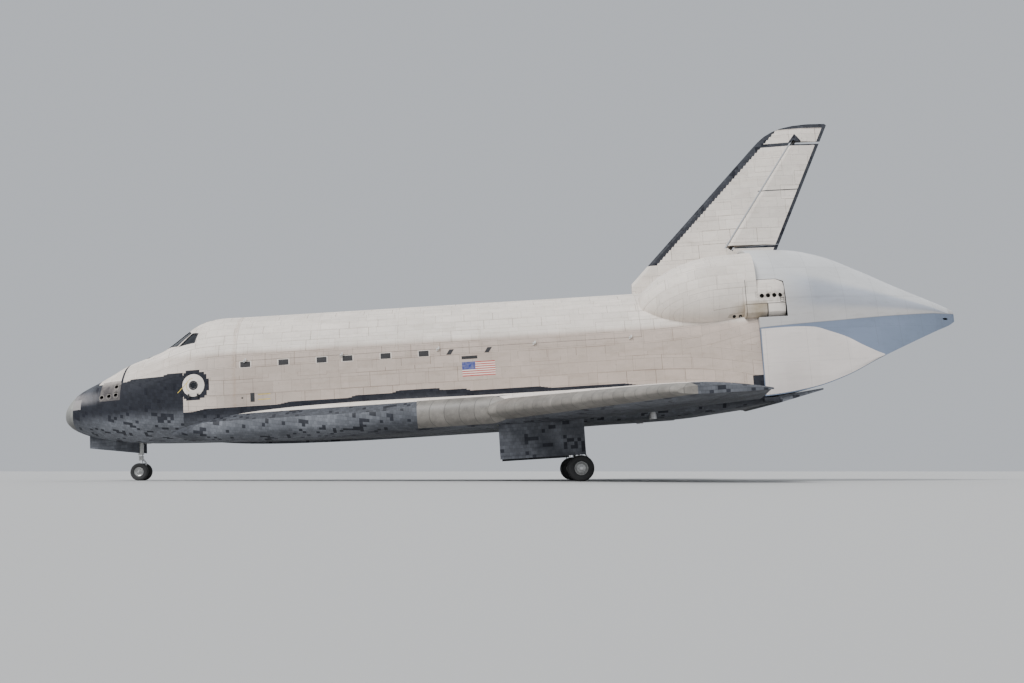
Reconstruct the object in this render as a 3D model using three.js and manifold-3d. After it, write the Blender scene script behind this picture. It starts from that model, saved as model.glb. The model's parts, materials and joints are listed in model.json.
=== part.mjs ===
import * as THREE from "three";
import { mergeVertices } from "three/addons/utils/BufferGeometryUtils.js";
import Module from "manifold-3d";

// A space shuttle orbiter with its ferry tail cone, standing on its landing gear, at half scale.
// Every length below is in inches of the real vehicle, in station coordinates: x runs aft from
// ahead of the nose, y to starboard and z up. The last lines turn them into millimetres.

const INCH = 12.7; // model millimetres for one real inch: 25.4 at scale 1:2
const PARKED_PITCH = THREE.MathUtils.degToRad(3.5); // nose down on its gear
const SEAM = 0.03; // gap between pieces fixed to each other
const CLEAR = 0.5; // gap between pieces that move past each other
const FAR = 3000; // reach of a cutting block past the vehicle

// Fuselage: a section has a flat keel, a quarter ellipse up to the side, a straight side and a
// quarter ellipse up to the crown.
const HULL_COLUMNS = ["x", "bottom", "flat", "half", "low", "high", "crown", "top"];
const HULL_TABLE = [
  [238.2, 335, 1, 6, 339.5, 342, 1, 346.5],
  [241, 329, 2, 13, 339.5, 342, 1, 353],
  [246, 323, 2, 22, 339, 342, 1, 361],
  [255, 315.5, 3, 33, 338, 342, 1, 371.5],
  [266, 309.5, 4, 42, 337, 342, 2, 381],
  [285, 301.5, 6, 52.5, 335, 343, 2, 391.5],
  [307, 294.8, 9, 61.5, 332, 345, 3, 401],
  [335, 289, 14, 71, 329, 348, 3, 415],
  [367, 285, 20, 80.5, 326, 353, 4, 431],
  [400, 282.6, 25, 88, 323, 362, 4, 442],
  [430, 281, 28, 93.5, 321, 372, 5, 452],
  [455, 280, 31, 97, 320, 379, 5, 468.5],
  [480, 279, 34, 99.5, 319, 385, 5, 487],
  [500, 278.3, 36, 101.5, 318, 391, 5, 499],
  [520, 277.5, 38, 103, 317, 395, 5, 505],
  [550, 276.5, 42, 104.5, 316, 398, 5, 507.5],
  [582, 275.5, 46, 105, 314, 400, 5, 507],
  [750, 270.5, 62, 105, 300, 400, 5, 507],
  [900, 268.5, 80, 105, 292, 400, 5, 507],
  [1000, 268, 85, 105, 288, 400, 5, 507],
  [1307, 268, 85, 105, 288, 400, 5, 507],
  [1400, 271, 90, 109, 291, 400, 5, 506],
  [1470, 277, 97, 121, 297, 400, 5, 504],
  [1512, 281, 106, 130, 301, 400, 5, 503],
  [1525, 282.2, 108, 131, 301, 400, 5, 503],
];
const LOW_STEPS = 3;
const HIGH_STEPS = 7;

const NOSE_JOINT_X = 266;
const CABIN = { front: 388, rear: 575, skin: 6, floor: 306, deck: 405 };
const FORWARD_END_X = 582;
const MID_END_X = 1307;
const AFT_END_X = 1512;
const SILL_Z = 414;
const DOOR_THICKNESS = 3;
const DOOR_AXIS = { y: 106.8, z: 414.2 };
const HATCH = {
  x: 505, z: 376, radius: 20, thickness: 4, window: 5.5, axisY: -104.4, axisZ: 355,
  outside: -140, inside: -60,
};

// Wing: leading and trailing edges in plan, and the height of its section along the span.
const WING = {
  root: 84, side: 105, tip: 468.3, gloveX: 500, bodySlope: 2, gloveSlope: 6.31, kinkY: 187.5, frontX: 836,
  rearX: 1525.3, rearSlope: -0.1773, lowZ: 268.5, dihedral: 0.0437, upperShare: 0.56, droop: 5,
};
const WING_COLUMNS = ["y", "thickness"];
const WING_TABLE = [
  [84, 60], [105, 60], [125, 57.5], [150, 53.5], [187.5, 48.5], [250, 41.5],
  [312, 34.5], [380, 27.5], [440, 20], [460, 16.5], [468.3, 11],
];
const AIRFOIL_STATIONS = [0, 0.008, 0.03, 0.075, 0.15, 0.25, 0.38, 0.52, 0.66, 0.8, 0.92, 1];
const ELEVON = { x: 1387, inner: 136, split: 312, outer: 462, level: 450 };

// Fin: a double wedge, thickest along the rudder's swept hinge line.
const FIN = {
  rootZ: 503, rootX: 1285, rootChord: 268.5, slope: 1, rearSlope: 0.4932, baseZ: 480, topZ: 819,
};
const WEDGE_HALF = 0.0525; // half thickness at the hinge line, as a share of the chord
const RUDDER = { bottom: 588.5, top: 780, x: 1504, z: 588, sweep: 0.6957, shaft: 3.5 };

// Tail cone: flat underside to a chine, a flared side to a crease, and a domed top.
const CONE_COLUMNS = ["x", "bottom", "chine", "creaseY", "creaseZ", "top", "power"];
const CONE_TABLE = [
  [1512, 293.2, 131, 137, 414, 575, 2.5],
  [1535, 294.5, 134, 137, 415, 574.5, 2.5],
  [1600, 303.5, 133, 127, 417, 571, 2.4],
  [1660, 321, 127, 113, 419, 557, 2.3],
  [1727, 350, 112, 99, 421, 527, 2.2],
  [1795, 376, 84, 75, 426, 493, 2.1],
  [1856, 398, 48, 44, 432, 465, 2],
  [1897, 412, 19, 18, 430, 446, 2],
  [1908, 418, 10, 10, 430, 440, 2],
];
const BODY_FLAP = { x: 1533, z: 286, nose: 6.5, half: 128, rearX: 1615, rearLow: 298.6, rearHigh: 301.6 };

// Landing gear: the ground line in station coordinates, at the main wheels.
const GROUND = { x: 1180, z: 165.7 };
const MAIN_GEAR = {
  x: 1180, y: 136, spacing: 18.5, tyre: 22.25, rim: 11.5, width: 16, axle: 3, wellTop: 306,
  well: { x0: 1041, x1: 1191, y0: 108, y1: 167, low: 230 },
};
const NOSE_GEAR = {
  x: 375, y: 0, spacing: 11, tyre: 16, rim: 8.5, width: 8.8, axle: 1.6, wellTop: 332,
  well: { x0: 286, x1: 381, half: 18.5, low: 250 },
};

const wasm = await Module();
wasm.setup();

// The solid of a closed geometry; faces that point inwards are turned round.
function solid(geometry) {
  for (const name of ["normal", "uv"]) geometry.deleteAttribute(name);
  const merged = mergeVertices(geometry);
  const places = merged.getAttribute("position");
  const triVerts = Uint32Array.from(merged.getIndex().array);
  const corner = (k) => new THREE.Vector3().fromBufferAttribute(places, triVerts[k]);
  let volume = 0;
  for (let i = 0; i < triVerts.length; i += 3) {
    volume += corner(i).dot(corner(i + 1).cross(corner(i + 2)));
  }
  if (volume < 0) triVerts.reverse();
  return new wasm.Manifold(new wasm.Mesh({ numProp: 3, vertProperties: places.array, triVerts }));
}

const enclosed = (points, faces) =>
  solid(new THREE.BufferGeometry().setFromPoints(points).setIndex(faces.flat()));

// A skin through rings of equal length, each end closed by a fan. The two halves of a ring are
// split into triangles as mirror images, so a mirrored neighbour fits either side.
function loft(rings) {
  const count = rings[0].length;
  const points = rings.flat();
  const faces = [];
  for (let r = 0; r + 1 < rings.length; r++) {
    for (let i = 0; i < count; i++) {
      const [a, b] = [r * count + i, r * count + ((i + 1) % count)];
      if (i < count / 2) faces.push([a, b, b + count], [a, b + count, a + count]);
      else faces.push([a, b, a + count], [b, b + count, a + count]);
    }
  }
  for (const [ring, start, turned] of [
    [rings[0], 0, true],
    [rings.at(-1), (rings.length - 1) * count, false],
  ]) {
    const centre = ring.reduce((sum, p) => sum.add(p), new THREE.Vector3()).divideScalar(count);
    const hub = points.push(centre) - 1;
    for (let i = 0; i < count; i++) {
      const [a, b] = [start + i, start + ((i + 1) % count)];
      faces.push(turned ? [hub, b, a] : [hub, a, b]);
    }
  }
  return enclosed(points, faces);
}

const extruded = (outline, depth) =>
  new THREE.ExtrudeGeometry(new THREE.Shape(outline.map(([u, v]) => new THREE.Vector2(u, v))), {
    depth,
    bevelEnabled: false,
  });
// Prisms of an outline in (x, z), seen from the side, and in (x, y), seen from above.
const sidePrism = (outline, y0, y1) =>
  solid(extruded(outline, y1 - y0).rotateX(Math.PI / 2).translate(0, y1, 0));
const planPrism = (outline, z0, z1) => solid(extruded(outline, z1 - z0).translate(0, 0, z0));

const box = (x0, x1, y0, y1, z0, z1) =>
  solid(
    new THREE.BoxGeometry(x1 - x0, y1 - y0, z1 - z0)
      .translate((x0 + x1) / 2, (y0 + y1) / 2, (z0 + z1) / 2),
  );

// A round bar, or a cone, between two points.
function rod(from, to, radius, endRadius = radius, sides = 20) {
  const [start, end] = [new THREE.Vector3(...from), new THREE.Vector3(...to)];
  const along = end.clone().sub(start);
  const up = new THREE.Vector3(0, 1, 0);
  return solid(
    new THREE.CylinderGeometry(endRadius, radius, along.length(), sides, 1, false, Math.PI / sides)
      .applyQuaternion(new THREE.Quaternion().setFromUnitVectors(up, along.normalize()))
      .translate(...start.add(end).divideScalar(2)),
  );
}

// A turned piece about a line along y; its profile goes round as [radius, y] pairs. It starts at
// the ground, so that every wheel stands on a flat of its faceted tread's edge.
function turned(profile, x, y, z, sides) {
  const points = [...profile, profile[0]].map(([r, along]) => new THREE.Vector2(r, along));
  return solid(new THREE.LatheGeometry(points, sides, Math.PI + PARKED_PITCH).translate(x, y, z));
}

// The corner radius of a faceted bore that leaves a thin running gap round a pin at every angle.
const boreRadius = (pin, sides) => (pin + SEAM) / Math.cos(Math.PI / sides);

const union = (...pieces) => wasm.Manifold.union(pieces);
const mirrored = (shape) => shape.mirror([0, 1, 0]);
const withMirror = (shape) => shape.add(mirrored(shape));

const readTable = (columns, table) =>
  table.map((row) => Object.fromEntries(columns.map((name, i) => [name, row[i]])));
const HULL = readTable(HULL_COLUMNS, HULL_TABLE);
const CONE = readTable(CONE_COLUMNS, CONE_TABLE);
const SPAN = readTable(WING_COLUMNS, WING_TABLE);

// The table's row at one place along it, straight between the rows on either side.
function rowAt(rows, key, value) {
  const last = Math.max(1, rows.findIndex((row, i) => i > 0 && row[key] >= value));
  const [a, b] = [rows[last - 1], rows[last]];
  const share = (value - a[key]) / (b[key] - a[key]);
  return Object.fromEntries(Object.keys(a).map((k) => [k, THREE.MathUtils.lerp(a[k], b[k], share)]));
}

// Rows from one place to another, with a row made at each end.
function rowsBetween(rows, key, from, to) {
  const between = rows.filter((row) => row[key] > from + 1e-6 && row[key] < to - 1e-6);
  return [rowAt(rows, key, from), ...between, rowAt(rows, key, to)];
}

const ringAt = (x, side) => [
  ...side.map(([y, z]) => new THREE.Vector3(x, y, z)),
  ...side.toReversed().map(([y, z]) => new THREE.Vector3(x, -y, z)),
];
const quarter = (steps) => Array.from({ length: steps + 1 }, (_, i) => ((i / steps) * Math.PI) / 2);

function hullRing({ x, bottom, flat, half, low, high, crown, top }, inset) {
  return ringAt(x, [
    ...quarter(LOW_STEPS).map((a) => [
      flat + (half - inset - flat) * Math.sin(a),
      low - (low - bottom - inset) * Math.cos(a),
    ]),
    ...quarter(HIGH_STEPS).map((a) => [
      crown + (half - inset - crown) * Math.cos(a),
      high + (top - inset - high) * Math.sin(a),
    ]),
  ]);
}

const hull = (from, to, inset = 0) =>
  loft(rowsBetween(HULL, "x", from, to).map((row) => hullRing(row, inset)));

// A point on the fuselage's upper skin, at an angle up from its straight side.
function skinPoint(x, degrees, side) {
  const { half, high, crown, top } = rowAt(HULL, "x", x);
  const a = THREE.MathUtils.degToRad(degrees);
  const y = crown + (half - crown) * Math.cos(a);
  return new THREE.Vector3(x, side * y, high + (top - high) * Math.sin(a));
}

// A cutter over a patch of skin, drawn out from a line inside the fuselage.
function patchCutter(corners, side) {
  const points = corners.map(([x, degrees]) => skinPoint(x, degrees, side));
  const centre = points.reduce((sum, p) => sum.add(p), new THREE.Vector3()).divideScalar(4);
  const edge = (i, j) => points[j].clone().sub(points[i]);
  const out = edge(0, 2).cross(edge(1, 3)).normalize();
  if (out.dot(new THREE.Vector3(0, centre.y, centre.z - 380)) < 0) out.negate();
  return loft([-9, 9].map((d) => points.map((p) => p.clone().addScaledVector(out, d))));
}

// Nose and forward fuselage.
const noseCap = hull(HULL[0].x, NOSE_JOINT_X - SEAM);

const MODULE = { front: 292, rear: 367, low: 358 };
const moduleBlock = (gap) =>
  box(MODULE.front + gap, MODULE.rear - gap, -FAR, FAR, MODULE.low + gap, FAR);
// Nozzles as [x, z] on the sides and [x, y] on top, and the bores that widen towards the skin.
const SIDE_THRUSTERS = [[328, 367], [343, 368], [357, 369], [357, 384]];
const TOP_THRUSTERS = [[344, 0], [344, -14], [344, 14]];
const NOSE_THRUSTERS = [[304, 0], [304, -13], [304, 13]];
const SIDE_BORE = { y0: 52, y1: 110, rise: 6, throat: 3.6, mouth: 5.4 };
const TOP_BORE = { z0: 404, z1: 440, throat: 3.2, mouth: 6 };
const NOSE_BORE = { z0: 388, z1: 412, aft: 4, ahead: 12, throat: 3, mouth: 4.4 };
const BORE_SIDES = 10;
const boreBetween = (from, to, { throat, mouth }) => rod(from, to, throat, mouth, BORE_SIDES);
let thrusterModule = hull(MODULE.front - 12, MODULE.rear + 13).intersect(moduleBlock(SEAM));
for (const [x, z] of SIDE_THRUSTERS) {
  const { y0, y1, rise } = SIDE_BORE;
  const bore = boreBetween([x, y0, z], [x, y1, z + rise], SIDE_BORE);
  thrusterModule = thrusterModule.subtract(withMirror(bore));
}
for (const [x, y] of TOP_THRUSTERS) {
  thrusterModule = thrusterModule.subtract(boreBetween([x, y, TOP_BORE.z0], [x, y, TOP_BORE.z1], TOP_BORE));
}
for (const [x, y] of NOSE_THRUSTERS) {
  const { z0, z1, aft, ahead } = NOSE_BORE;
  thrusterModule = thrusterModule.subtract(boreBetween([x + aft, y, z0], [x - ahead, y, z1], NOSE_BORE));
}

const cabin = hull(CABIN.front, CABIN.rear + 15, CABIN.skin).intersect(
  box(0, FAR, -FAR, FAR, CABIN.floor, FAR),
);
// The windshield band's lower edge rises aft; behind the step only its lower part goes on.
const WINDSHIELD = {
  front: 424, middle: 470, step: 484, rear: 509, frontLow: 446, middleLow: 448, rearLow: 449,
  stepTop: 474, rise: 492, top: 520,
};
const windshieldBlock = (gap) =>
  sidePrism(
    [
      [WINDSHIELD.front + gap, WINDSHIELD.frontLow + gap], [WINDSHIELD.middle, WINDSHIELD.middleLow + gap],
      [WINDSHIELD.rear - gap, WINDSHIELD.rearLow + gap], [WINDSHIELD.rear - gap, WINDSHIELD.stepTop - gap],
      [WINDSHIELD.step - gap, WINDSHIELD.rise], [WINDSHIELD.step - gap, WINDSHIELD.top],
      [WINDSHIELD.front + gap, WINDSHIELD.top],
    ],
    -FAR,
    FAR,
  );
const OVERHEAD = { front: 502, rear: 526, half: 31, low: 470, margin: 3, inner: 4, outer: 27 };
const overheadBlock = (gap) =>
  box(OVERHEAD.front + gap, OVERHEAD.rear - gap, gap - OVERHEAD.half, OVERHEAD.half - gap,
    OVERHEAD.low, FAR);
const hatchBar = (radius) =>
  rod([HATCH.x, HATCH.outside, HATCH.z], [HATCH.x, HATCH.inside, HATCH.z], radius, radius, 36);

// Round fittings under the belly by which the vehicle is carried, and their sockets.
const FORWARD_ATTACH = { x: 388.15, y: 0, radius: 6, low: 282, high: 299 };
const AFT_ATTACH = { x: 1317, y: 96.5, radius: 7, low: 267, high: 285 };
const attachFitting = ({ x, y, radius }, low, high, gap = 0) =>
  rod([x, y, low], [x, y, high], radius + gap, radius + gap, 24);
const forwardSocket = attachFitting(FORWARD_ATTACH, 270, 300, SEAM);
const aftSocket = (high, side = 1) =>
  attachFitting({ ...AFT_ATTACH, y: side * AFT_ATTACH.y }, 250, high, SEAM);

const NOSE_WELL = NOSE_GEAR.well;
const noseWell = box(
  NOSE_WELL.x0, NOSE_WELL.x1, -NOSE_WELL.half, NOSE_WELL.half, NOSE_WELL.low, NOSE_GEAR.wellTop,
);

// The hatch's hinge along its lower edge: lugs on the fuselage carry pins, those on the hatch turn.
const HATCH_HINGE = {
  pin: 0.4, pins: [[496.7, 500], [510, 513.3]], bores: [[496, 499], [511, 514]], pinSides: 10,
  knuckle: 0.9, knuckleSides: 12, rootY: -99,
  fixed: [[499.1, 501.6], [508.4, 510.9]], fixedHalf: 0.6, fixedDrop: 2.5,
  moving: [[495.5, 498.5], [511.5, 514.5]], movingTop: 6, movingStep: 3.6,
};
const onHatchAxis = ([x0, x1], radius, sides) =>
  rod([x0, HATCH.axisY, HATCH.axisZ], [x1, HATCH.axisY, HATCH.axisZ], radius, radius, sides);
const hatchPin = (ends, radius) => onHatchAxis(ends, radius, HATCH_HINGE.pinSides);
const knuckle = (ends) => onHatchAxis(ends, HATCH_HINGE.knuckle, HATCH_HINGE.knuckleSides);
function fixedLug([x0, x1]) {
  const { axisY, axisZ } = HATCH;
  const { rootY, fixedHalf, fixedDrop } = HATCH_HINGE;
  return union(
    box(x0, x1, axisY, rootY, axisZ - fixedDrop, axisZ - fixedHalf),
    knuckle([x0, x1]),
    box(x0, x1, axisY - fixedHalf, axisY + fixedHalf, axisZ - fixedDrop, axisZ),
  );
}
const forwardFuselage = hull(NOSE_JOINT_X, FORWARD_END_X)
  .subtract(union(moduleBlock(0), cabin, noseWell, windshieldBlock(0), overheadBlock(0)))
  .subtract(hatchBar(HATCH.radius + CLEAR))
  .subtract(forwardSocket)
  .add(union(...HATCH_HINGE.fixed.map(fixedLug)))
  .add(union(...HATCH_HINGE.pins.map((ends) => hatchPin(ends, HATCH_HINGE.pin))));

const BAY_WINDOW = { inner: 9, outer: 27, low: 466, high: 484 };
const AIRLOCK = { z: 350, radius: 20 };
const WALL_CUT = { x0: 560, x1: 600 }; // from ahead of the wall to behind it
const rearBulkhead = hull(CABIN.rear, FORWARD_END_X - SEAM, CABIN.skin + 4 * SEAM)
  .intersect(box(0, FAR, -FAR, FAR, CABIN.floor + SEAM, FAR))
  .subtract(
    withMirror(
      box(WALL_CUT.x0, WALL_CUT.x1, BAY_WINDOW.inner, BAY_WINDOW.outer, BAY_WINDOW.low, BAY_WINDOW.high),
    ),
  )
  .subtract(
    rod([WALL_CUT.x0, 0, AIRLOCK.z], [WALL_CUT.x1, 0, AIRLOCK.z], AIRLOCK.radius, AIRLOCK.radius, 28),
  );

// Corners of the window panes, as [x, degrees up from the straight side], and the glass's depth.
const GLASS = { back: 1.2, inner: 3.5 };
const PANES = [
  [[434, 87], [442, 69], [479, 71], [476, 87]],
  [[444, 65.5], [468, 47.5], [490, 55], [482, 67.5]],
  [[473, 43.5], [503, 36], [506, 47.5], [494, 52.5]],
];
const glassBack = hull(400, 560, GLASS.back);
let windshield = hull(410, 530).subtract(hull(405, 535, GLASS.inner)).intersect(windshieldBlock(SEAM));
let overhead = hull(490, 540).subtract(hull(485, 545, GLASS.inner)).intersect(overheadBlock(SEAM));
for (const side of [-1, 1]) {
  for (const corners of PANES) {
    windshield = windshield.subtract(patchCutter(corners, side).subtract(glassBack));
  }
}
const overheadPane = box(
  OVERHEAD.front + OVERHEAD.margin, OVERHEAD.rear - OVERHEAD.margin, OVERHEAD.inner, OVERHEAD.outer,
  OVERHEAD.low, FAR,
);
overhead = overhead.subtract(withMirror(overheadPane).subtract(glassBack));

function movingLug([x0, x1]) {
  const { axisY, axisZ } = HATCH;
  const { rootY, knuckle: half, movingTop, movingStep } = HATCH_HINGE;
  return union(
    box(x0, x1, axisY - half, axisY + half, axisZ, axisZ + movingTop),
    box(x0, x1, axisY - half, rootY, axisZ + movingStep, axisZ + movingTop),
    knuckle([x0, x1]),
  );
}
const HATCH_PANE = { outer: 0.8, inner: 2.6 }; // depths of the glass under the skin
const hatchBore = boreRadius(HATCH_HINGE.pin, HATCH_HINGE.pinSides);
const sideHatch = hull(470, 540)
  .subtract(hull(465, 545, HATCH.thickness))
  .intersect(hatchBar(HATCH.radius))
  .subtract(hatchBar(HATCH.window))
  .add(union(...HATCH_HINGE.moving.map(movingLug)))
  .subtract(union(...HATCH_HINGE.bores.map((ends) => hatchPin(ends, hatchBore))));
const hatchWindow = hull(470, 540, HATCH_PANE.outer)
  .subtract(hull(465, 545, HATCH_PANE.inner))
  .intersect(hatchBar(HATCH.window - SEAM));

const DECK_THICKNESS = 4;
const CONSOLES = [
  { x0: 430, x1: 446, half: 42, top: 436 },
  { x0: 452, x1: 486, half: 5, top: 424 },
  { x0: 548, x1: 566, half: 52, top: 448 },
];
const innerCabin = hull(CABIN.front + SEAM, CABIN.rear - SEAM, CABIN.skin + SEAM);
const flightDeck = innerCabin.intersect(
  union(
    box(CABIN.front, CABIN.rear - SEAM, -FAR, FAR, CABIN.deck, CABIN.deck + DECK_THICKNESS),
    ...CONSOLES.map(({ x0, x1, half, top }) => box(x0, x1, -half, half, CABIN.deck, top)),
  ),
);
// Heights are over the deck's underside.
const SEAT = { x: 490, y: 22, half: 9, length: 18, low: 4.5, top: 16, backX: 14, back: 5, backTop: 43 };
const SEAT_RAIL = { x0: 494, x1: 500, half: 33, top: 7 };
const seat = union(
  box(SEAT.x, SEAT.x + SEAT.length, SEAT.y - SEAT.half, SEAT.y + SEAT.half, CABIN.deck + SEAT.low,
    CABIN.deck + SEAT.top),
  box(SEAT.x + SEAT.backX, SEAT.x + SEAT.backX + SEAT.back, SEAT.y - SEAT.half, SEAT.y + SEAT.half,
    CABIN.deck + SEAT.top - 2, CABIN.deck + SEAT.backTop),
);
const crewSeats = union(
  box(SEAT_RAIL.x0, SEAT_RAIL.x1, -SEAT_RAIL.half, SEAT_RAIL.half, CABIN.deck + DECK_THICKNESS + SEAM,
    CABIN.deck + SEAT_RAIL.top),
  withMirror(seat),
);

// Mid fuselage, payload bay and its doors.
const BAY = { bottom: 306, flat: 45, half: 96, low: 345, high: 440, crown: 60, top: 540 };
const bay = loft([570, 1320].map((x) => hullRing({ x, ...BAY }, 0)));
const DOOR_HINGES = [600, 772, 944, 1116, 1288];
// Hinge knuckles along the sill; x0 and x1 are measured from each hinge's place.
const SILL_LUG = { x0: -4, x1: -1.5, inner: 101, low: 411, below: 0.7 };
const SILL_PIN = { x0: -2, x1: 1, radius: 0.45, boreX0: -1.5, boreX1: 1.2 };
const DOOR_LUG = { x0: -1, x1: 1.5, half: 1, root: 102.2, step: 1.6, top: 3.8 };
const KNUCKLE = 1.1;
const DOOR_ROD_SIDES = 10;
const doorRod = (x0, x1, radius = KNUCKLE) => {
  const { y, z } = DOOR_AXIS;
  return rod([x0, y, z], [x1, y, z], radius, radius, DOOR_ROD_SIDES);
};
const sillLugs = union(
  ...DOOR_HINGES.flatMap((x) => [
    doorRod(x + SILL_LUG.x0, x + SILL_LUG.x1),
    doorRod(x + SILL_PIN.x0, x + SILL_PIN.x1, SILL_PIN.radius),
    box(x + SILL_LUG.x0, x + SILL_LUG.x1, SILL_LUG.inner, DOOR_AXIS.y, SILL_LUG.low,
      DOOR_AXIS.z - SILL_LUG.below),
  ]),
);
const midFuselage = hull(FORWARD_END_X + SEAM, MID_END_X - SEAM)
  .intersect(box(0, FAR, -FAR, FAR, 0, SILL_Z))
  .subtract(bay)
  .add(withMirror(sillLugs));

const doorLugs = union(
  ...DOOR_HINGES.flatMap((hinge) => {
    const [x0, x1] = [hinge + DOOR_LUG.x0, hinge + DOOR_LUG.x1];
    const { y, z } = DOOR_AXIS;
    return [
      doorRod(x0, x1),
      box(x0, x1, y - DOOR_LUG.half, y + KNUCKLE, z, z + DOOR_LUG.top),
      box(x0, x1, DOOR_LUG.root, y + KNUCKLE, z + DOOR_LUG.step, z + DOOR_LUG.top),
    ];
  }),
);
const doorBore = boreRadius(SILL_PIN.radius, DOOR_ROD_SIDES);
const doorStarboard = hull(FORWARD_END_X + CLEAR, MID_END_X - CLEAR)
  .subtract(hull(FORWARD_END_X - 1, MID_END_X + 1, DOOR_THICKNESS))
  .intersect(box(0, FAR, CLEAR / 2, FAR, SILL_Z + CLEAR, FAR))
  .add(doorLugs)
  .subtract(
    union(...DOOR_HINGES.map((x) => doorRod(x + SILL_PIN.boreX0, x + SILL_PIN.boreX1, doorBore))),
  );
const RADIATOR = { front: 720, rear: 1290, inner: 10, low: 428, depth: 1.6 };
const radiatorStarboard = hull(RADIATOR.front, RADIATOR.rear, DOOR_THICKNESS + SEAM)
  .subtract(hull(RADIATOR.front - 5, RADIATOR.rear + 5, DOOR_THICKNESS + RADIATOR.depth))
  .intersect(box(0, FAR, RADIATOR.inner, FAR, RADIATOR.low, FAR));

// Tail cone: a thin shell, open where it fits round the engines.
function coneRing({ x, bottom, chine, creaseY, creaseZ, top, power }, inset) {
  const squash = 2 / power;
  return ringAt(x, [
    [chine * 0.5, bottom + inset],
    [chine - inset, bottom + inset],
    [creaseY - inset, creaseZ],
    ...quarter(8).slice(1).map((a) => [
      Math.max(1, (creaseY - inset) * Math.cos(a) ** squash),
      creaseZ + (top - inset - creaseZ) * Math.sin(a) ** squash,
    ]),
  ]);
}
const cone = (from, to, inset = 0) =>
  loft(rowsBetween(CONE, "x", from, to).map((row) => coneRing(row, inset)));
const THRUSTER_HOUSING = { front: 1490, x: 1562, y: 104, outer: 160, bottom: 433, top: 500, gap: 1.2 };
const housingBlock = (gap) =>
  withMirror(
    box(THRUSTER_HOUSING.front, THRUSTER_HOUSING.x + gap, THRUSTER_HOUSING.y - gap,
      THRUSTER_HOUSING.outer, THRUSTER_HOUSING.bottom - gap, THRUSTER_HOUSING.top + gap),
  );
const CONE_SHELL = { end: 1880, wall: 3 };
const tailCone = cone(AFT_END_X, CONE.at(-1).x)
  .subtract(cone(AFT_END_X - 0.01, CONE_SHELL.end, CONE_SHELL.wall))
  .subtract(housingBlock(THRUSTER_HOUSING.gap));

// Aft fuselage, its pods and the block that stands for the engines.
const HULL_END_X = HULL.at(-1).x;
const FLAP_PIN = { radius: 1.6, y0: 122, y1: 130, boreY0: 121, sides: 16 };
const flapPin = (y0, y1, radius) =>
  rod([BODY_FLAP.x, y0, BODY_FLAP.z], [BODY_FLAP.x, y1, BODY_FLAP.z], radius, radius, FLAP_PIN.sides);
// A bracket at each end of the body flap's hinge line, carried back from the fuselage's rear end.
const FLAP_BRACKET = { x0: 1510, y0: 112, y1: 131.5, z0: 283.5, z1: 290.8, armX: 1537, armZ: 282 };
const flapLug = union(
  box(FLAP_BRACKET.x0, HULL_END_X + 0.4, FLAP_BRACKET.y0, FLAP_BRACKET.y1, FLAP_BRACKET.z0,
    FLAP_BRACKET.z1),
  box(HULL_END_X, FLAP_BRACKET.armX, BODY_FLAP.half + 0.6, FLAP_BRACKET.y1, FLAP_BRACKET.armZ,
    FLAP_BRACKET.z1),
  flapPin(FLAP_PIN.y0, FLAP_PIN.y1, FLAP_PIN.radius),
);
const ENGINE_ROOM = { skin: 6, wall: 8, floor: 296, openLow: 293 };
const aftFuselage = hull(MID_END_X, HULL_END_X)
  .subtract(box(AFT_END_X - SEAM, FAR, -FAR, FAR, ENGINE_ROOM.openLow, FAR))
  .subtract(
    hull(MID_END_X + ENGINE_ROOM.wall, HULL_END_X - 0.1, ENGINE_ROOM.skin)
      .intersect(box(0, FAR, -FAR, FAR, ENGINE_ROOM.floor, FAR)),
  )
  .subtract(union(aftSocket(AFT_ATTACH.high, -1), aftSocket(AFT_ATTACH.high)))
  .add(withMirror(flapLug));
const ENGINES = { half: 60, top: 470, x0: 1480, x1: 1511, nozzleX0: 1500, nozzleX1: 1620, nozzleLow: 340 };
const mainEngineBlock = union(
  box(ENGINES.x0, ENGINES.x1, -ENGINES.half, ENGINES.half, ENGINE_ROOM.floor + SEAM, ENGINES.top),
  box(ENGINES.nozzleX0, ENGINES.nozzleX1, -ENGINES.half, ENGINES.half, ENGINES.nozzleLow, ENGINES.top),
);

const POD_COLUMNS = ["x", "y", "z", "a", "b"];
const PODS = readTable(POD_COLUMNS, [
  [1311, 70, 476, 8, 10],
  [1324, 73, 479, 23, 26],
  [1350, 76, 483, 37, 42],
  [1390, 79, 487, 48, 56],
  [1440, 81, 490, 54, 64],
  [AFT_END_X - SEAM, 81.5, 490.5, 55.5, 66.5],
]);
const POD_SIDES = 20;
const POD_ROUNDNESS = 0.86; // 1 is an ellipse, less is squarer
const squared = (share, reach) => reach * Math.sign(share) * Math.abs(share) ** POD_ROUNDNESS;
const podShape = loft(
  PODS.map(({ x, y, z, a, b }) =>
    Array.from({ length: POD_SIDES }, (_, i) => {
      const t = (i / POD_SIDES) * 2 * Math.PI;
      return new THREE.Vector3(x, y + squared(Math.cos(t), a), z + squared(Math.sin(t), b));
    }),
  ),
);
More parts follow.
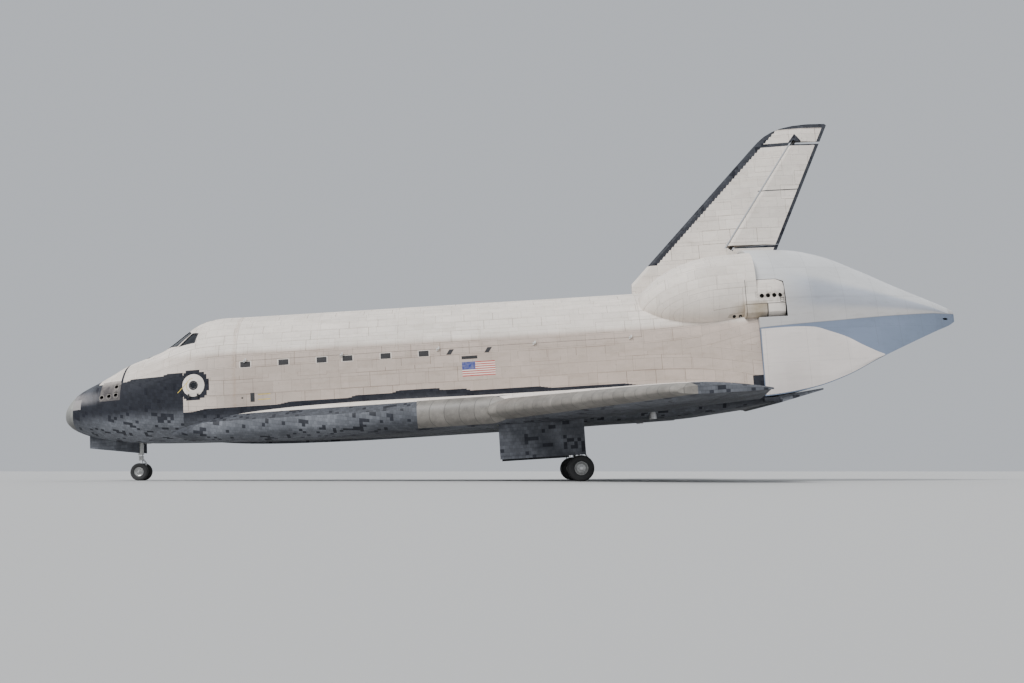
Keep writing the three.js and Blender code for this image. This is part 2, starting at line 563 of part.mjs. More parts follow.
// The housing's section, as [y, z]; the outer points are drawn in towards its rear end.
const HOUSING_STATIONS = [
  { x: THRUSTER_HOUSING.front, shrink: 0 }, { x: 1548, shrink: 0 }, { x: THRUSTER_HOUSING.x, shrink: 5 },
];
const HOUSING_SIDE = [[128, THRUSTER_HOUSING.bottom], [135.5, 441], [136.5, 462], [134.5, 486]];
const housing = loft(
  HOUSING_STATIONS.map(({ x, shrink }) =>
    [
      [THRUSTER_HOUSING.y, THRUSTER_HOUSING.bottom],
      ...HOUSING_SIDE.map(([y, z]) => [y - shrink, z]),
      [128 - shrink, THRUSTER_HOUSING.top - shrink], [THRUSTER_HOUSING.y, THRUSTER_HOUSING.top - shrink],
    ].map(([y, z]) => new THREE.Vector3(x, y, z)),
  ),
);
const SIDE_NOZZLES = { x: [1520, 1531, 1542, 1553], y0: 130, y1: 150, z: 470, throat: 3.6, mouth: 4.6 };
const LOWER_NOZZLES = {
  x: [1472, 1483, 1494], y0: 118, y1: 124, z0: 441, z1: 412, throat: 3.2, mouth: 4.4,
};
const podThrusters = union(
  ...SIDE_NOZZLES.x.map((x) =>
    boreBetween([x, SIDE_NOZZLES.y0, SIDE_NOZZLES.z], [x, SIDE_NOZZLES.y1, SIDE_NOZZLES.z], SIDE_NOZZLES),
  ),
  ...LOWER_NOZZLES.x.map((x) => {
    const { y0, y1, z0, z1 } = LOWER_NOZZLES;
    return boreBetween([x, y0, z0], [x, y1, z1], LOWER_NOZZLES);
  }),
);
const podStarboard = podShape
  .intersect(box(1300, AFT_END_X - SEAM, 0, FAR, 0, FAR))
  .subtract(hull(MID_END_X - 20, HULL_END_X, -SEAM))
  .add(housing.subtract(hull(MID_END_X, HULL_END_X, -SEAM)))
  .subtract(podThrusters);

// Fin, rudder shaft and the two speed brake panels.
function finAt(z) {
  const rise = z - FIN.rootZ;
  const front = FIN.rootX + rise * FIN.slope;
  const rear = FIN.rootX + FIN.rootChord + rise * FIN.rearSlope;
  const chord = rear - front;
  return { front, rear, half: WEDGE_HALF * chord, hinge: RUDDER.x + (z - RUDDER.z) * RUDDER.sweep };
}
const FIN_LEVELS = [FIN.baseZ, 560, 640, 720, 790, FIN.topZ];
const EDGE_HALF = 0.5; // half thickness of the fin's sharp edges
const finWedge = loft(
  FIN_LEVELS.map((z) => {
    const { front, rear, half, hinge } = finAt(z);
    const side = [
      [front, EDGE_HALF], [front + 2.2, 1.9], [front + 7, 3.1 * (half / 12) + EDGE_HALF], [hinge, half],
      [rear, EDGE_HALF],
    ];
    return [...side, ...side.toReversed().map(([x, y]) => [x, -y])].map(
      ([x, y]) => new THREE.Vector3(x, y, z),
    );
  }),
);
// The fin seen from the side, as [x, z], with its rounded tip.
const FIN_OUTLINE = [
  [1309, 480], [1309, 527], [1560, 778], [1572, 789.5], [1585, 799.5], [1600, 807.5], [1618, 813.5],
  [1640, 817], [1672, 818.5], [1704, 818.5], [1708.5, 815], [1702, 798], [1700, 785], [1600, 580],
  [1600, 480],
];
const FIN_REACH = 40; // more than half the fin's thickness
const finOutline = sidePrism(FIN_OUTLINE, -FIN_REACH, FIN_REACH);
const SHAFT_SIDES = 24;
const hingeAxis = new THREE.Vector3(RUDDER.sweep, 0, 1).normalize();
const onHinge = (s) =>
  new THREE.Vector3(RUDDER.x, 0, RUDDER.z).addScaledVector(hingeAxis, s).toArray();
const hingeRod = (s0, s1, radius) => rod(onHinge(s0), onHinge(s1), radius, radius, SHAFT_SIDES);
const hingeHollow = (s0, s1, grow) => {
  const radiusAt = (s) => finAt(onHinge(s)[2]).half + grow;
  return rod(onHinge(s0), onHinge(s1), radiusAt(s0), radiusAt(s1), 36);
};
const shaftBore = boreRadius(RUDDER.shaft, SHAFT_SIDES);
// The space that the panels swing in, ahead of the hinge line and behind it.
const RUDDER_SPACE = { bottom: 583.5, top: 787, bottomAhead: 12.9, topAhead: 8, half: 60 };
const rudderSpace = sidePrism(
  [
    [finAt(RUDDER_SPACE.bottom).hinge - RUDDER_SPACE.bottomAhead, RUDDER_SPACE.bottom],
    [1606, 588], [1740, 781.5],
    [finAt(RUDDER_SPACE.top).hinge - RUDDER_SPACE.topAhead, RUDDER_SPACE.top],
  ],
  -RUDDER_SPACE.half,
  RUDDER_SPACE.half,
);
// Places along the hinge line, from the rudder's lower end.
const SHAFT = { start: -16, end: 248, boreStart: -18, boreEnd: 250, hollowStart: -9, hollowEnd: 243 };
const fin = finWedge
  .intersect(finOutline)
  .subtract(
    union(
      rudderSpace,
      hingeHollow(SHAFT.hollowStart, SHAFT.hollowEnd, CLEAR + 0.15),
      hingeRod(SHAFT.boreStart, SHAFT.boreEnd, shaftBore),
    ),
  )
  .subtract(hull(1290, HULL_END_X, -SEAM))
  .subtract(cone(AFT_END_X - SEAM, 1700, -SEAM));
const rudderShaft = hingeRod(SHAFT.start, SHAFT.end, RUDDER.shaft);

// A level cut through one panel: its flat inner face, its outer face, and its nose round the shaft.
const PANEL = { innerX: 6.2, rearHalf: 0.7, shaftGap: 5, noseX: 3.9, noseY: 4.2 };
const NOSE_ANGLES = [96, 104, 112, 120, 127];
function panelRing(z) {
  const { rear, half, hinge } = finAt(z);
  const lean = Math.hypot(RUDDER.sweep, 1); // a level cut through a swept round bar is longer along x
  const arc = (r, degrees) => {
    const a = THREE.MathUtils.degToRad(degrees);
    return [hinge + r * Math.cos(a) * lean, r * Math.sin(a)];
  };
  return [
    [hinge + PANEL.innerX, CLEAR / 2], [rear, CLEAR / 2], [rear, PANEL.rearHalf], [hinge, half - 0.2],
    ...NOSE_ANGLES.map((t) => arc(half - 0.35, t)),
    arc(PANEL.shaftGap, 127), arc(PANEL.shaftGap, 108), [hinge, PANEL.shaftGap],
    [hinge + PANEL.noseX, PANEL.noseY],
  ].map(([x, y]) => new THREE.Vector3(x, y, z));
}
function panelSolid(levels) {
  const rings = levels.map(panelRing);
  const flat = rings[0].map((p) => new THREE.Vector2(p.x, p.y));
  const count = flat.length;
  const faces = THREE.ShapeUtils.triangulateShape(flat, []).flatMap(([a, b, c]) => {
    const ccw = !THREE.ShapeUtils.isClockWise([flat[a], flat[b], flat[c]]);
    const [p, q, r] = ccw ? [a, b, c] : [a, c, b];
    return [[r, q, p], [p + count, q + count, r + count]];
  });
  for (let i = 0; i < count; i++) {
    const j = (i + 1) % count;
    faces.push([i, j, j + count], [i, j + count, i + count]);
  }
  return enclosed(rings.flat(), faces);
}
// Each panel turns on the shaft by its own two collars; those of the other panel lie between.
const COLLAR = {
  length: 12, wall: 0.62, webHeight: 8, webDepth: 8, webHalf: 1.6, starboard: [30, 150], port: [60, 190],
};
function collars(starts, side) {
  const web = (s) => {
    const [x, , z] = onHinge(s + COLLAR.length / 2);
    const corner = (out, up) => [x + RUDDER.shaft + out + up * RUDDER.sweep, z + up];
    const [low, high] = [-COLLAR.webHeight / 2, COLLAR.webHeight / 2];
    return sidePrism(
      [corner(0, low), corner(COLLAR.webDepth, low), corner(COLLAR.webDepth, high), corner(0, high)],
      side * (CLEAR / 2),
      side * COLLAR.webHalf,
    );
  };
  const rings = starts.map((s) => hingeRod(s, s + COLLAR.length, RUDDER.shaft + COLLAR.wall));
  return union(...rings, ...starts.map(web)).subtract(hingeRod(SHAFT.start - 4, SHAFT.end + 12, shaftBore));
}
const brakeBlank = panelSolid([RUDDER.bottom, RUDDER.top]);
const brakeStarboard = brakeBlank.add(collars(COLLAR.starboard, 1));
const brakePort = mirrored(brakeBlank).add(collars(COLLAR.port, -1));

// Body flap under the tail cone.
const NOSE_STEPS = 8;
const flapNose = Array.from({ length: NOSE_STEPS + 1 }, (_, i) => {
  const t = Math.PI / 2 + (i / NOSE_STEPS) * Math.PI;
  return [BODY_FLAP.x + BODY_FLAP.nose * Math.cos(t), BODY_FLAP.z + BODY_FLAP.nose * Math.sin(t)];
});
const bodyFlap = sidePrism(
  [...flapNose, [BODY_FLAP.rearX, BODY_FLAP.rearLow], [BODY_FLAP.rearX, BODY_FLAP.rearHigh]],
  -BODY_FLAP.half,
  BODY_FLAP.half,
).subtract(
  withMirror(flapPin(FLAP_PIN.boreY0, FLAP_PIN.y1, boreRadius(FLAP_PIN.radius, FLAP_PIN.sides))),
);

// Wing: an airfoil whose height follows the span table.
const airfoil = (f) =>
  (0.2969 * Math.sqrt(f) - 0.126 * f - 0.3516 * f ** 2 + 0.2843 * f ** 3 - 0.1036 * f ** 4) / 0.1;
function wingAt(y) {
  const { thickness } = rowAt(SPAN, "y", y);
  const slope = y < WING.side ? WING.bodySlope : WING.gloveSlope;
  const front = y < WING.kinkY ? WING.gloveX + (y - WING.side) * slope : WING.frontX + y;
  const rear = WING.rearX + WING.rearSlope * y;
  const low = WING.lowZ + Math.max(0, y - WING.side) * WING.dihedral;
  return { thickness, front, rear, middle: low + thickness * (1 - WING.upperShare) };
}
// Height of the wing's surface at a share of its chord; side is 1 above and -1 below.
function wingHeight(y, f, side) {
  const { thickness, middle } = wingAt(y);
  const share = side > 0 ? WING.upperShare : 1 - WING.upperShare;
  return middle - WING.droop * f ** 2 + side * (thickness * share * airfoil(f) + 0.6);
}
const wingSection = (y) => {
  const { front, rear } = wingAt(y);
  const point = (f, side) => new THREE.Vector3(front + f * (rear - front), y, wingHeight(y, f, side));
  return [
    ...AIRFOIL_STATIONS.map((f) => point(f, 1)),
    ...AIRFOIL_STATIONS.toReversed().map((f) => point(f, -1)),
  ];
};
const wingBlank = loft(SPAN.map(({ y }) => wingSection(y)))
  .subtract(hull(400, HULL_END_X, -SEAM));

// The elevons' one straight hinge line meets the middle of the wing's thickness at the inner end
// and at ELEVON.level, and lies close to it in between.
const wingMiddleAt = (x, y) => {
  const { front, rear } = wingAt(y);
  const f = (x - front) / (rear - front);
  const [up, down] = [wingHeight(y, f, 1), wingHeight(y, f, -1)];
  return { z: (up + down) / 2, half: (up - down) / 2 };
};
const [hingeIn, hingeOut] = [ELEVON.inner, ELEVON.level].map((y) => ({ y, ...wingMiddleAt(ELEVON.x, y) }));
const hingeTilt = Math.atan2(hingeOut.z - hingeIn.z, hingeOut.y - hingeIn.y);
const hingeZ = (y) => hingeIn.z + (y - hingeIn.y) * Math.tan(hingeTilt);
// A block square to the hinge line, between two places along it.
const HINGE_BLOCK = { front: 1300, rear: 1700, half: 90 };
const hingeBlock = (y0, y1, x0) => {
  const [low, high] = [y0, y1].map((y) => (y - hingeIn.y) / Math.cos(hingeTilt));
  return box(x0, HINGE_BLOCK.rear, low, high, -HINGE_BLOCK.half, HINGE_BLOCK.half)
    .rotate([THREE.MathUtils.radToDeg(hingeTilt), 0, 0])
    .translate([0, hingeIn.y, hingeIn.z]);
};
// The round nose of the elevons, inside the wing's thickness, or with side 1 the hollow round it.
const ELEVON_NOSE_SIDES = 24;
const elevonNose = (side, gap) =>
  loft(
    [ELEVON.inner - 6, WING.kinkY, ELEVON.split, 380, 440, ELEVON.outer + 6].map((y) => {
      const { z, half } = wingMiddleAt(ELEVON.x, y);
      const radius = half + side * (Math.abs(z - hingeZ(y)) + gap);
      return Array.from({ length: ELEVON_NOSE_SIDES }, (_, i) => {
        const angle = ((i + 0.5) / ELEVON_NOSE_SIDES) * 2 * Math.PI;
        return new THREE.Vector3(
          ELEVON.x + radius * Math.cos(angle), y, hingeZ(y) + radius * Math.sin(angle),
        );
      });
    }),
  );
// Pins in the wing at both ends of the hinge line reach into the elevons.
const ELEVON_PIN = { radius: 1.5, reach: 6, boreReach: 7, innerRoot: 4, outerRoot: 3, sides: 16 };
const elevonPins = (reach, radius) =>
  union(
    ...[
      [ELEVON.inner - ELEVON_PIN.innerRoot, ELEVON.inner + reach],
      [ELEVON.outer - reach, ELEVON.outer + ELEVON_PIN.outerRoot],
    ].map(([y0, y1]) =>
      rod([ELEVON.x, y0, hingeZ(y0)], [ELEVON.x, y1, hingeZ(y1)], radius, radius, ELEVON_PIN.sides),
    ),
  );
const ELEVON_GAP = { nose: 0.15, hollow: 0.2, front: 2.2 };
const elevonBetween = (y0, y1) =>
  wingBlank
    .intersect(hingeBlock(y0, y1, ELEVON.x))
    .add(elevonNose(-1, ELEVON_GAP.nose).intersect(hingeBlock(y0, y1, HINGE_BLOCK.front)))
    .subtract(elevonPins(ELEVON_PIN.boreReach, boreRadius(ELEVON_PIN.radius, ELEVON_PIN.sides)));
const elevonInboard = elevonBetween(ELEVON.inner, ELEVON.split - CLEAR / 2);
const elevonOutboard = elevonBetween(ELEVON.split + CLEAR / 2, ELEVON.outer);
const spaceFrom = (x0) => hingeBlock(ELEVON.inner - CLEAR, ELEVON.outer + CLEAR, x0);
const elevonSpace = spaceFrom(ELEVON.x - ELEVON_GAP.front).add(
  elevonNose(1, CLEAR + ELEVON_GAP.hollow).intersect(spaceFrom(HINGE_BLOCK.front)),
);

// The carbon leading edge, seen from above.
const EDGE = { front: 905, inner: 154, outer: 480, low: 200, high: 400 };
const edgeOutline = (gap) =>
  planPrism(
    [
      [EDGE.front + gap, EDGE.inner + gap], [1036 - gap, 175 + gap], [1064 - gap, 192 + gap],
      [1345 - gap, EDGE.outer], [EDGE.front + gap, EDGE.outer],
    ],
    EDGE.low,
    EDGE.high,
  );
const leadingEdge = wingBlank.intersect(edgeOutline(SEAM));
const MAIN_WELL = MAIN_GEAR.well;
const mainWell = box(
  MAIN_WELL.x0, MAIN_WELL.x1, MAIN_WELL.y0, MAIN_WELL.y1, MAIN_WELL.low, MAIN_GEAR.wellTop,
);
const wing = wingBlank
  .subtract(union(edgeOutline(0), elevonSpace, mainWell, aftSocket(AFT_ATTACH.high + 1)))
  .add(elevonPins(ELEVON_PIN.reach, ELEVON_PIN.radius));

// Landing gear.
const groundZ = (x) => GROUND.z - (x - GROUND.x) * Math.tan(PARKED_PITCH);
const axleZ = ({ x, tyre }) => groundZ(x) + tyre / Math.cos(PARKED_PITCH);
const mainAxleZ = axleZ(MAIN_GEAR);
const noseAxleZ = axleZ(NOSE_GEAR);

const WHEEL_SIDES = 24;
function tyreAt({ x, tyre, rim, width }, y, z) {
  const half = width / 2;
  const [shoulder, bulge] = [tyre * 0.93, (rim * 2 + tyre) / 3];
  return turned(
    [
      [rim, -half * 0.72], [bulge, -half], [shoulder, -half * 0.85], [tyre, -half * 0.5],
      [tyre, half * 0.5], [shoulder, half * 0.85], [bulge, half], [rim, half * 0.72],
    ],
    x, y, z, WHEEL_SIDES,
  );
}
// The disc lies deep on the wheel's outer face and shallow on its inner face.
function rimAt({ x, rim, width, axle }, y, z, out) {
  const half = width * 0.36;
  const edge = rim - SEAM;
  const bore = boreRadius(axle, WHEEL_SIDES);
  return turned(
    [
      [bore, -half * 0.5 * out], [rim * 0.76, -half * 0.5 * out], [rim * 0.8, -half * out],
      [edge, -half * out], [edge, half * out], [rim * 0.8, half * out], [rim * 0.7, half * 0.35 * out],
      [bore, half * 0.6 * out],
    ],
    x, y, z, WHEEL_SIDES,
  );
}

const STRUT_SIDES = 20;
const strut = (x, y, z0, z1, r) => rod([x, y, z0], [x, y, z1], r, r, STRUT_SIDES);
const axleBar = ({ x, y, spacing, width, axle }, z) =>
  rod([x, y - spacing - width / 2, z], [x, y + spacing + width / 2, z], axle, axle, 16);
// Each leg: cylinder and piston from z to z, a drag brace and its foot in the well, as distances
// from the leg's own place, and links that keep the main piston from turning.
const MAIN_LEG = {
  cylinder: { z0: 218, radius: 6.5 }, piston: { z1: 222, radius: 4.6 },
  brace: { x0: -62, z0: 302, x1: -2, z1: 226, radius: 3 }, foot: { x0: -70, x1: -54, half: 6, z0: 298 },
  links: { x: [4, 13, 2], z: [222, 207, 191], radius: 1.8 },
};
const NOSE_LEG = {
  cylinder: { z0: 262, radius: 4.6 }, piston: { z1: 270, radius: 3 }, bore: { z0: 255, z1: 272 },
  collar: { z0: 252, z1: 261, radius: 4.4 },
  brace: { x0: -62, z0: 328, x1: -2, z1: 272, radius: 2.4 }, foot: { x0: -70, x1: -54, half: 5, z0: 324 },
  axleReach: 5,
};
const BRACE_SIDES = 12;
const LINK_SIDES = 10;
const AXLE_SIDES = 16;
const braceAt = ({ x, y }, { x0, z0, x1, z1, radius }) =>
  rod([x + x0, y, z0], [x + x1, y, z1], radius, radius, BRACE_SIDES);
const footAt = ({ x, y, wellTop }, { x0, x1, half, z0 }) =>
  box(x + x0, x + x1, y - half, y + half, z0, wellTop - SEAM);
const mainLink = (i) => {
  const { x, y } = MAIN_GEAR;
  const { x: out, z, radius } = MAIN_LEG.links;
  return rod([x + out[i], y, z[i]], [x + out[i + 1], y, z[i + 1]], radius, radius, LINK_SIDES);
};
const mainLeg = union(
  strut(MAIN_GEAR.x, MAIN_GEAR.y, MAIN_LEG.cylinder.z0, MAIN_GEAR.wellTop - SEAM, MAIN_LEG.cylinder.radius),
  strut(MAIN_GEAR.x, MAIN_GEAR.y, mainAxleZ, MAIN_LEG.piston.z1, MAIN_LEG.piston.radius),
  axleBar(MAIN_GEAR, mainAxleZ),
  braceAt(MAIN_GEAR, MAIN_LEG.brace),
  footAt(MAIN_GEAR, MAIN_LEG.foot),
  mainLink(0),
  mainLink(1),
);
const noseStrut = (z0, z1, radius) => strut(NOSE_GEAR.x, NOSE_GEAR.y, z0, z1, radius);
const noseLeg = union(
  noseStrut(NOSE_LEG.cylinder.z0, NOSE_GEAR.wellTop - SEAM, NOSE_LEG.cylinder.radius),
  braceAt(NOSE_GEAR, NOSE_LEG.brace),
  footAt(NOSE_GEAR, NOSE_LEG.foot),
).subtract(noseStrut(NOSE_LEG.bore.z0, NOSE_LEG.bore.z1, boreRadius(NOSE_LEG.piston.radius, STRUT_SIDES)));
const noseAxleEnd = NOSE_GEAR.spacing + NOSE_LEG.axleReach;
const noseAxle = union(
  noseStrut(noseAxleZ, NOSE_LEG.piston.z1, NOSE_LEG.piston.radius),
  noseStrut(NOSE_LEG.collar.z0, NOSE_LEG.collar.z1, NOSE_LEG.collar.radius),
  rod([NOSE_GEAR.x, -noseAxleEnd, noseAxleZ], [NOSE_GEAR.x, noseAxleEnd, noseAxleZ],
    NOSE_GEAR.axle, NOSE_GEAR.axle, AXLE_SIDES),
);

// A door plate hanging open, its top edge shaped by the skin over it. Outlines are [x, z], and
// inner and outer are the plate's faces, measured from the edge of its well.
const NOSE_DOOR = { outline: [[288, 310], [379, 310], [379, 265], [288, 279]], inner: 0.2, outer: 1.8 };
const MAIN_DOOR = {
  outline: [[1043, 280], [1189, 280], [1189, 211], [1043, 211]], inner: 0.4, outer: 2.2,
};
const hangingDoor = ({ outline, inner, outer }, wellSide, skin) =>
  sidePrism(outline, wellSide + inner, wellSide + outer).subtract(skin).translate([0, 0, -SEAM]);
const noseDoor = hangingDoor(NOSE_DOOR, NOSE_WELL.half, hull(NOSE_JOINT_X, 400));
const mainDoor = hangingDoor(MAIN_DOOR, MAIN_WELL.y1, wingBlank);

const FINISHES = {
  tile: { color: 0x2b2b2d, roughness: 0.6, metalness: 0 },
  blanket: { color: 0xe8e4d8, roughness: 0.85, metalness: 0 },
  carbon: { color: 0x8f8a80, roughness: 0.5, metalness: 0 },
  glass: { color: 0x15181c, roughness: 0.1, metalness: 0 },
  metal: { color: 0xb5b7b8, roughness: 0.35, metalness: 0.9 },
  cone: { color: 0xe9e6dc, roughness: 0.45, metalness: 0 },
  rubber: { color: 0x232323, roughness: 0.8, metalness: 0 },
  deck: { color: 0x6d7275, roughness: 0.6, metalness: 0 },
  seat: { color: 0x3c4550, roughness: 0.9, metalness: 0 },
};
const vehicle = new THREE.Group();

function addNode(name, shape, finish) {
  const { numProp, vertProperties, triVerts } = shape.getMesh();
  const positions = new Float32Array((vertProperties.length / numProp) * 3);
  for (let i = 0; i < positions.length / 3; i++) {
    positions.set(vertProperties.subarray(i * numProp, i * numProp + 3), i * 3);
  }
  const geometry = new THREE.BufferGeometry()
    .setAttribute("position", new THREE.BufferAttribute(positions, 3))
    .setIndex(new THREE.BufferAttribute(triVerts.slice(), 1));
  const merged = mergeVertices(geometry, 1e-5);
  merged.computeVertexNormals();
  const mesh = new THREE.Mesh(merged, new THREE.MeshStandardMaterial(FINISHES[finish]));
  mesh.name = name;
  vehicle.add(mesh);
}

function addPair(name, starboard, finish) {
  addNode(`${name}_starboard`, starboard, finish);
  addNode(`${name}_port`, mirrored(starboard), finish);
}

addNode("nose_cap", noseCap, "carbon");
addNode("forward_fuselage", forwardFuselage, "blanket");
addNode("forward_thruster_module", thrusterModule, "blanket");
addNode("windshield", windshield, "glass");
addNode("overhead_windows", overhead, "glass");
addNode("flight_deck", flightDeck, "deck");
addNode("crew_seats", crewSeats, "seat");
addNode("cabin_rear_bulkhead", rearBulkhead, "deck");
addNode("side_hatch", sideHatch, "blanket");
addNode("hatch_window", hatchWindow, "glass");
addNode("mid_fuselage", midFuselage, "blanket");
addPair("payload_door", doorStarboard, "blanket");
addPair("radiator", radiatorStarboard, "metal");
addNode("aft_fuselage", aftFuselage, "blanket");
addPair("pod", podStarboard, "blanket");
addNode("main_engine_block", mainEngineBlock, "metal");
addNode("tail_cone", tailCone, "cone");
addNode("body_flap", bodyFlap, "tile");
addNode("fin", fin, "blanket");
addNode("rudder_shaft", rudderShaft, "metal");
addNode("speed_brake_starboard", brakeStarboard, "blanket");
addNode("speed_brake_port", brakePort, "blanket");
addPair("wing", wing, "blanket");
addPair("leading_edge", leadingEdge, "carbon");
addPair("elevon_inboard", elevonInboard, "tile");
addPair("elevon_outboard", elevonOutboard, "tile");
addNode("forward_attach", attachFitting(FORWARD_ATTACH, FORWARD_ATTACH.low, FORWARD_ATTACH.high), "metal");
addPair("aft_attach", attachFitting(AFT_ATTACH, AFT_ATTACH.low, AFT_ATTACH.high - SEAM), "metal");
addNode("nose_leg", noseLeg, "metal");
addNode("nose_axle", noseAxle, "metal");
for (const [side, out] of [["starboard", 1], ["port", -1]]) {
  const y = out * NOSE_GEAR.spacing;
  addNode(`nose_rim_${side}`, rimAt(NOSE_GEAR, y, noseAxleZ, out), "metal");
  addNode(`nose_tyre_${side}`, tyreAt(NOSE_GEAR, y, noseAxleZ), "rubber");
}
addPair("nose_door", noseDoor, "tile");
addPair("main_leg", mainLeg, "metal");
for (const [place, out] of [["outer", 1], ["inner", -1]]) {
  const y = MAIN_GEAR.y + out * MAIN_GEAR.spacing;
  addPair(`main_rim_${place}`, rimAt(MAIN_GEAR, y, mainAxleZ, out), "metal");
  addPair(`main_tyre_${place}`, tyreAt(MAIN_GEAR, y, mainAxleZ), "rubber");
}
addPair("main_door", mainDoor, "tile");

// Millimetres, parked attitude, and the origin on the floor under the middle of the vehicle.
vehicle.scale.setScalar(INCH);
vehicle.rotation.y = -PARKED_PITCH;
vehicle.updateMatrixWorld(true);
const extent = new THREE.Box3().setFromObject(vehicle, true);
vehicle.position.set(-(extent.min.x + extent.max.x) / 2, 0, -extent.min.z);

export default vehicle;
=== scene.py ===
import json
import math
from types import SimpleNamespace

import bmesh
import bpy
from mathutils import Matrix, Vector


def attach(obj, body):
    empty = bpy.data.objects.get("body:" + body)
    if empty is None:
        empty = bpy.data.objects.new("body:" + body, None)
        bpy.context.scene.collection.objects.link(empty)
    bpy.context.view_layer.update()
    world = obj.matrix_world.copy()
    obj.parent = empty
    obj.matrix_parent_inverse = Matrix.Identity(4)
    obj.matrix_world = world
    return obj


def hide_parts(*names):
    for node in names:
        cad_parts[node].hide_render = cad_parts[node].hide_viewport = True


bl_info = {
    "name": "Winged orbiter with tail cone",
    "version": (1, 0, 0),
    "blender": (4, 5, 0),
    "location": "3D View > Sidebar > Orbiter",
    "description": "Dresses a parked orbiter's packed solids with skins, windows, gear and finishes",
    "category": "Object",
}

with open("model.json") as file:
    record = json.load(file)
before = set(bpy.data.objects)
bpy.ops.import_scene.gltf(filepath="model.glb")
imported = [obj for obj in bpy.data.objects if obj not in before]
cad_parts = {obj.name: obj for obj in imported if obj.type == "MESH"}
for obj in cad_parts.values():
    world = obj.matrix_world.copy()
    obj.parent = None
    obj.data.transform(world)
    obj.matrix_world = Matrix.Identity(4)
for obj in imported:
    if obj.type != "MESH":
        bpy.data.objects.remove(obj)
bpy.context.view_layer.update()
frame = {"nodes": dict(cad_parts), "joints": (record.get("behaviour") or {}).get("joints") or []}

# Shapes below are in inches of the real vehicle, in station coordinates: x aft, y starboard, z up.
INCH = 0.0127  # metres of the half-scale model for one real inch
PITCH = math.radians(3.5)  # nose down on its gear
DOOR_AXIS = Vector((944, 106.8, 414.2))
DOOR_JOINT = next(j for j in frame["joints"] if j["name"] == "payload_door_starboard_hinge")
TILT = Matrix.Rotation(-PITCH, 4, "Y") @ Matrix.Scale(INCH, 4)
SHIFT = Vector(DOOR_JOINT["pos_m"]) - TILT @ DOOR_AXIS
STATION = Matrix.Translation(SHIFT) @ TILT
SEAM = 0.03  # between pieces that stay together
CLEAR = 0.5  # round what moves
FAR = 900  # past the vehicle's own width and height, for the blocks that cut

HULL_COLUMNS = ("x", "bottom", "flat", "half", "low", "high", "crown", "top")
HULL_TABLE = (
    (238.2, 340, 0.2, 0.5, 340.3, 340.9, 0.1, 341.2),
    (241, 329, 2, 13, 339.5, 342, 1, 353),
    (246, 323, 2, 22, 339, 342, 1, 361),
    (255, 315.5, 3, 33, 338, 342, 1, 371.5),
    (266, 309.5, 4, 42, 337, 342, 2, 381),
    (285, 301.5, 6, 52.5, 335, 343, 2, 391.5),
    (307, 294.8, 9, 61.5, 332, 345, 3, 401),
    (335, 289, 14, 71, 329, 348, 3, 415),
    (367, 285, 20, 80.5, 326, 353, 4, 431),
    (400, 282.6, 25, 88, 323, 362, 4, 442),
    (430, 281, 28, 93.5, 321, 372, 5, 452),
    (455, 280, 31, 97, 320, 379, 5, 468.5),
    (480, 279, 34, 99.5, 319, 385, 5, 487),
    (500, 278.3, 36, 101.5, 318, 391, 5, 499),
    (520, 277.5, 38, 103, 317, 395, 5, 505),
    (550, 276.5, 42, 104.5, 316, 398, 5, 507.5),
    (582, 275.5, 46, 105, 314, 400, 5, 507),
    (750, 270.5, 62, 105, 300, 400, 5, 507),
    (900, 268.5, 80, 105, 292, 400, 5, 507),
    (1000, 268, 85, 105, 288, 400, 5, 507),
    (1307, 268, 85, 105, 288, 400, 5, 507),
    (1400, 271, 90, 109, 291, 400, 5, 506),
    (1470, 277, 97, 121, 297, 400, 5, 504),
    (1512, 281, 106, 130, 301, 400, 5, 503),
    (1525, 282.2, 108, 131, 301, 400, 5, 503),
)
NOSE_TIP = 238.2
NOSE_JOINT = 266
FORWARD_END = 582
MID_END = 1307
AFT_END = 1512
SILL = 414
CABIN = SimpleNamespace(front=388, rear=575, skin=6, floor=306)
HATCH = SimpleNamespace(x=505, z=376, radius=20, thickness=4, window=5.5)
HATCH_AXIS = ((HATCH.x, -140, HATCH.z), (HATCH.x, -60, HATCH.z))  # from outside to inside
BAY = SimpleNamespace(bottom=306, flat=45, half=96, low=345)
DOOR_THICKNESS = 3
DOOR_HINGES = (600, 772, 944, 1116, 1288)
RADIATOR = SimpleNamespace(
    low=428, inner=10, panels=((720, 861), (862.5, 1003), (1004.5, 1146), (1147.5, 1290)),
)

CONE_COLUMNS = ("x", "bottom", "chine", "crease_y", "crease_z", "top", "power")
CONE_TABLE = (
    (1512, 293.2, 131, 137, 414, 575, 2.5),
    (1535, 294.5, 134, 137, 415, 574.5, 2.5),
    (1600, 303.5, 133, 127, 417, 571, 2.4),
    (1660, 321, 127, 113, 419, 557, 2.3),
    (1727, 350, 112, 99, 421, 527, 2.2),
    (1795, 376, 84, 75, 426, 493, 2.1),
    (1856, 398, 48, 44, 432, 465, 2),
    (1897, 412, 19, 18, 430, 446, 2),
    (1908, 418, 10, 10, 430, 440, 2),
)
CONE_END = 1908

POD_COLUMNS = ("x", "y", "z", "a", "b")
POD_TABLE = (
    (1311, 70, 476, 8, 10),
    (1324, 73, 479, 23, 26),
    (1350, 76, 483, 37, 42),
    (1390, 79, 487, 48, 56),
    (1440, 81, 490, 54, 64),
    (AFT_END - SEAM, 81.5, 490.5, 55.5, 66.5),
)
POD_HOUSING = SimpleNamespace(front=1490, rear=1562, y=104, bottom=433, top=500)
POD_SQUARENESS = 0.86  # 1 would make a pod's sections round
POD_THRUSTER_Z = 470

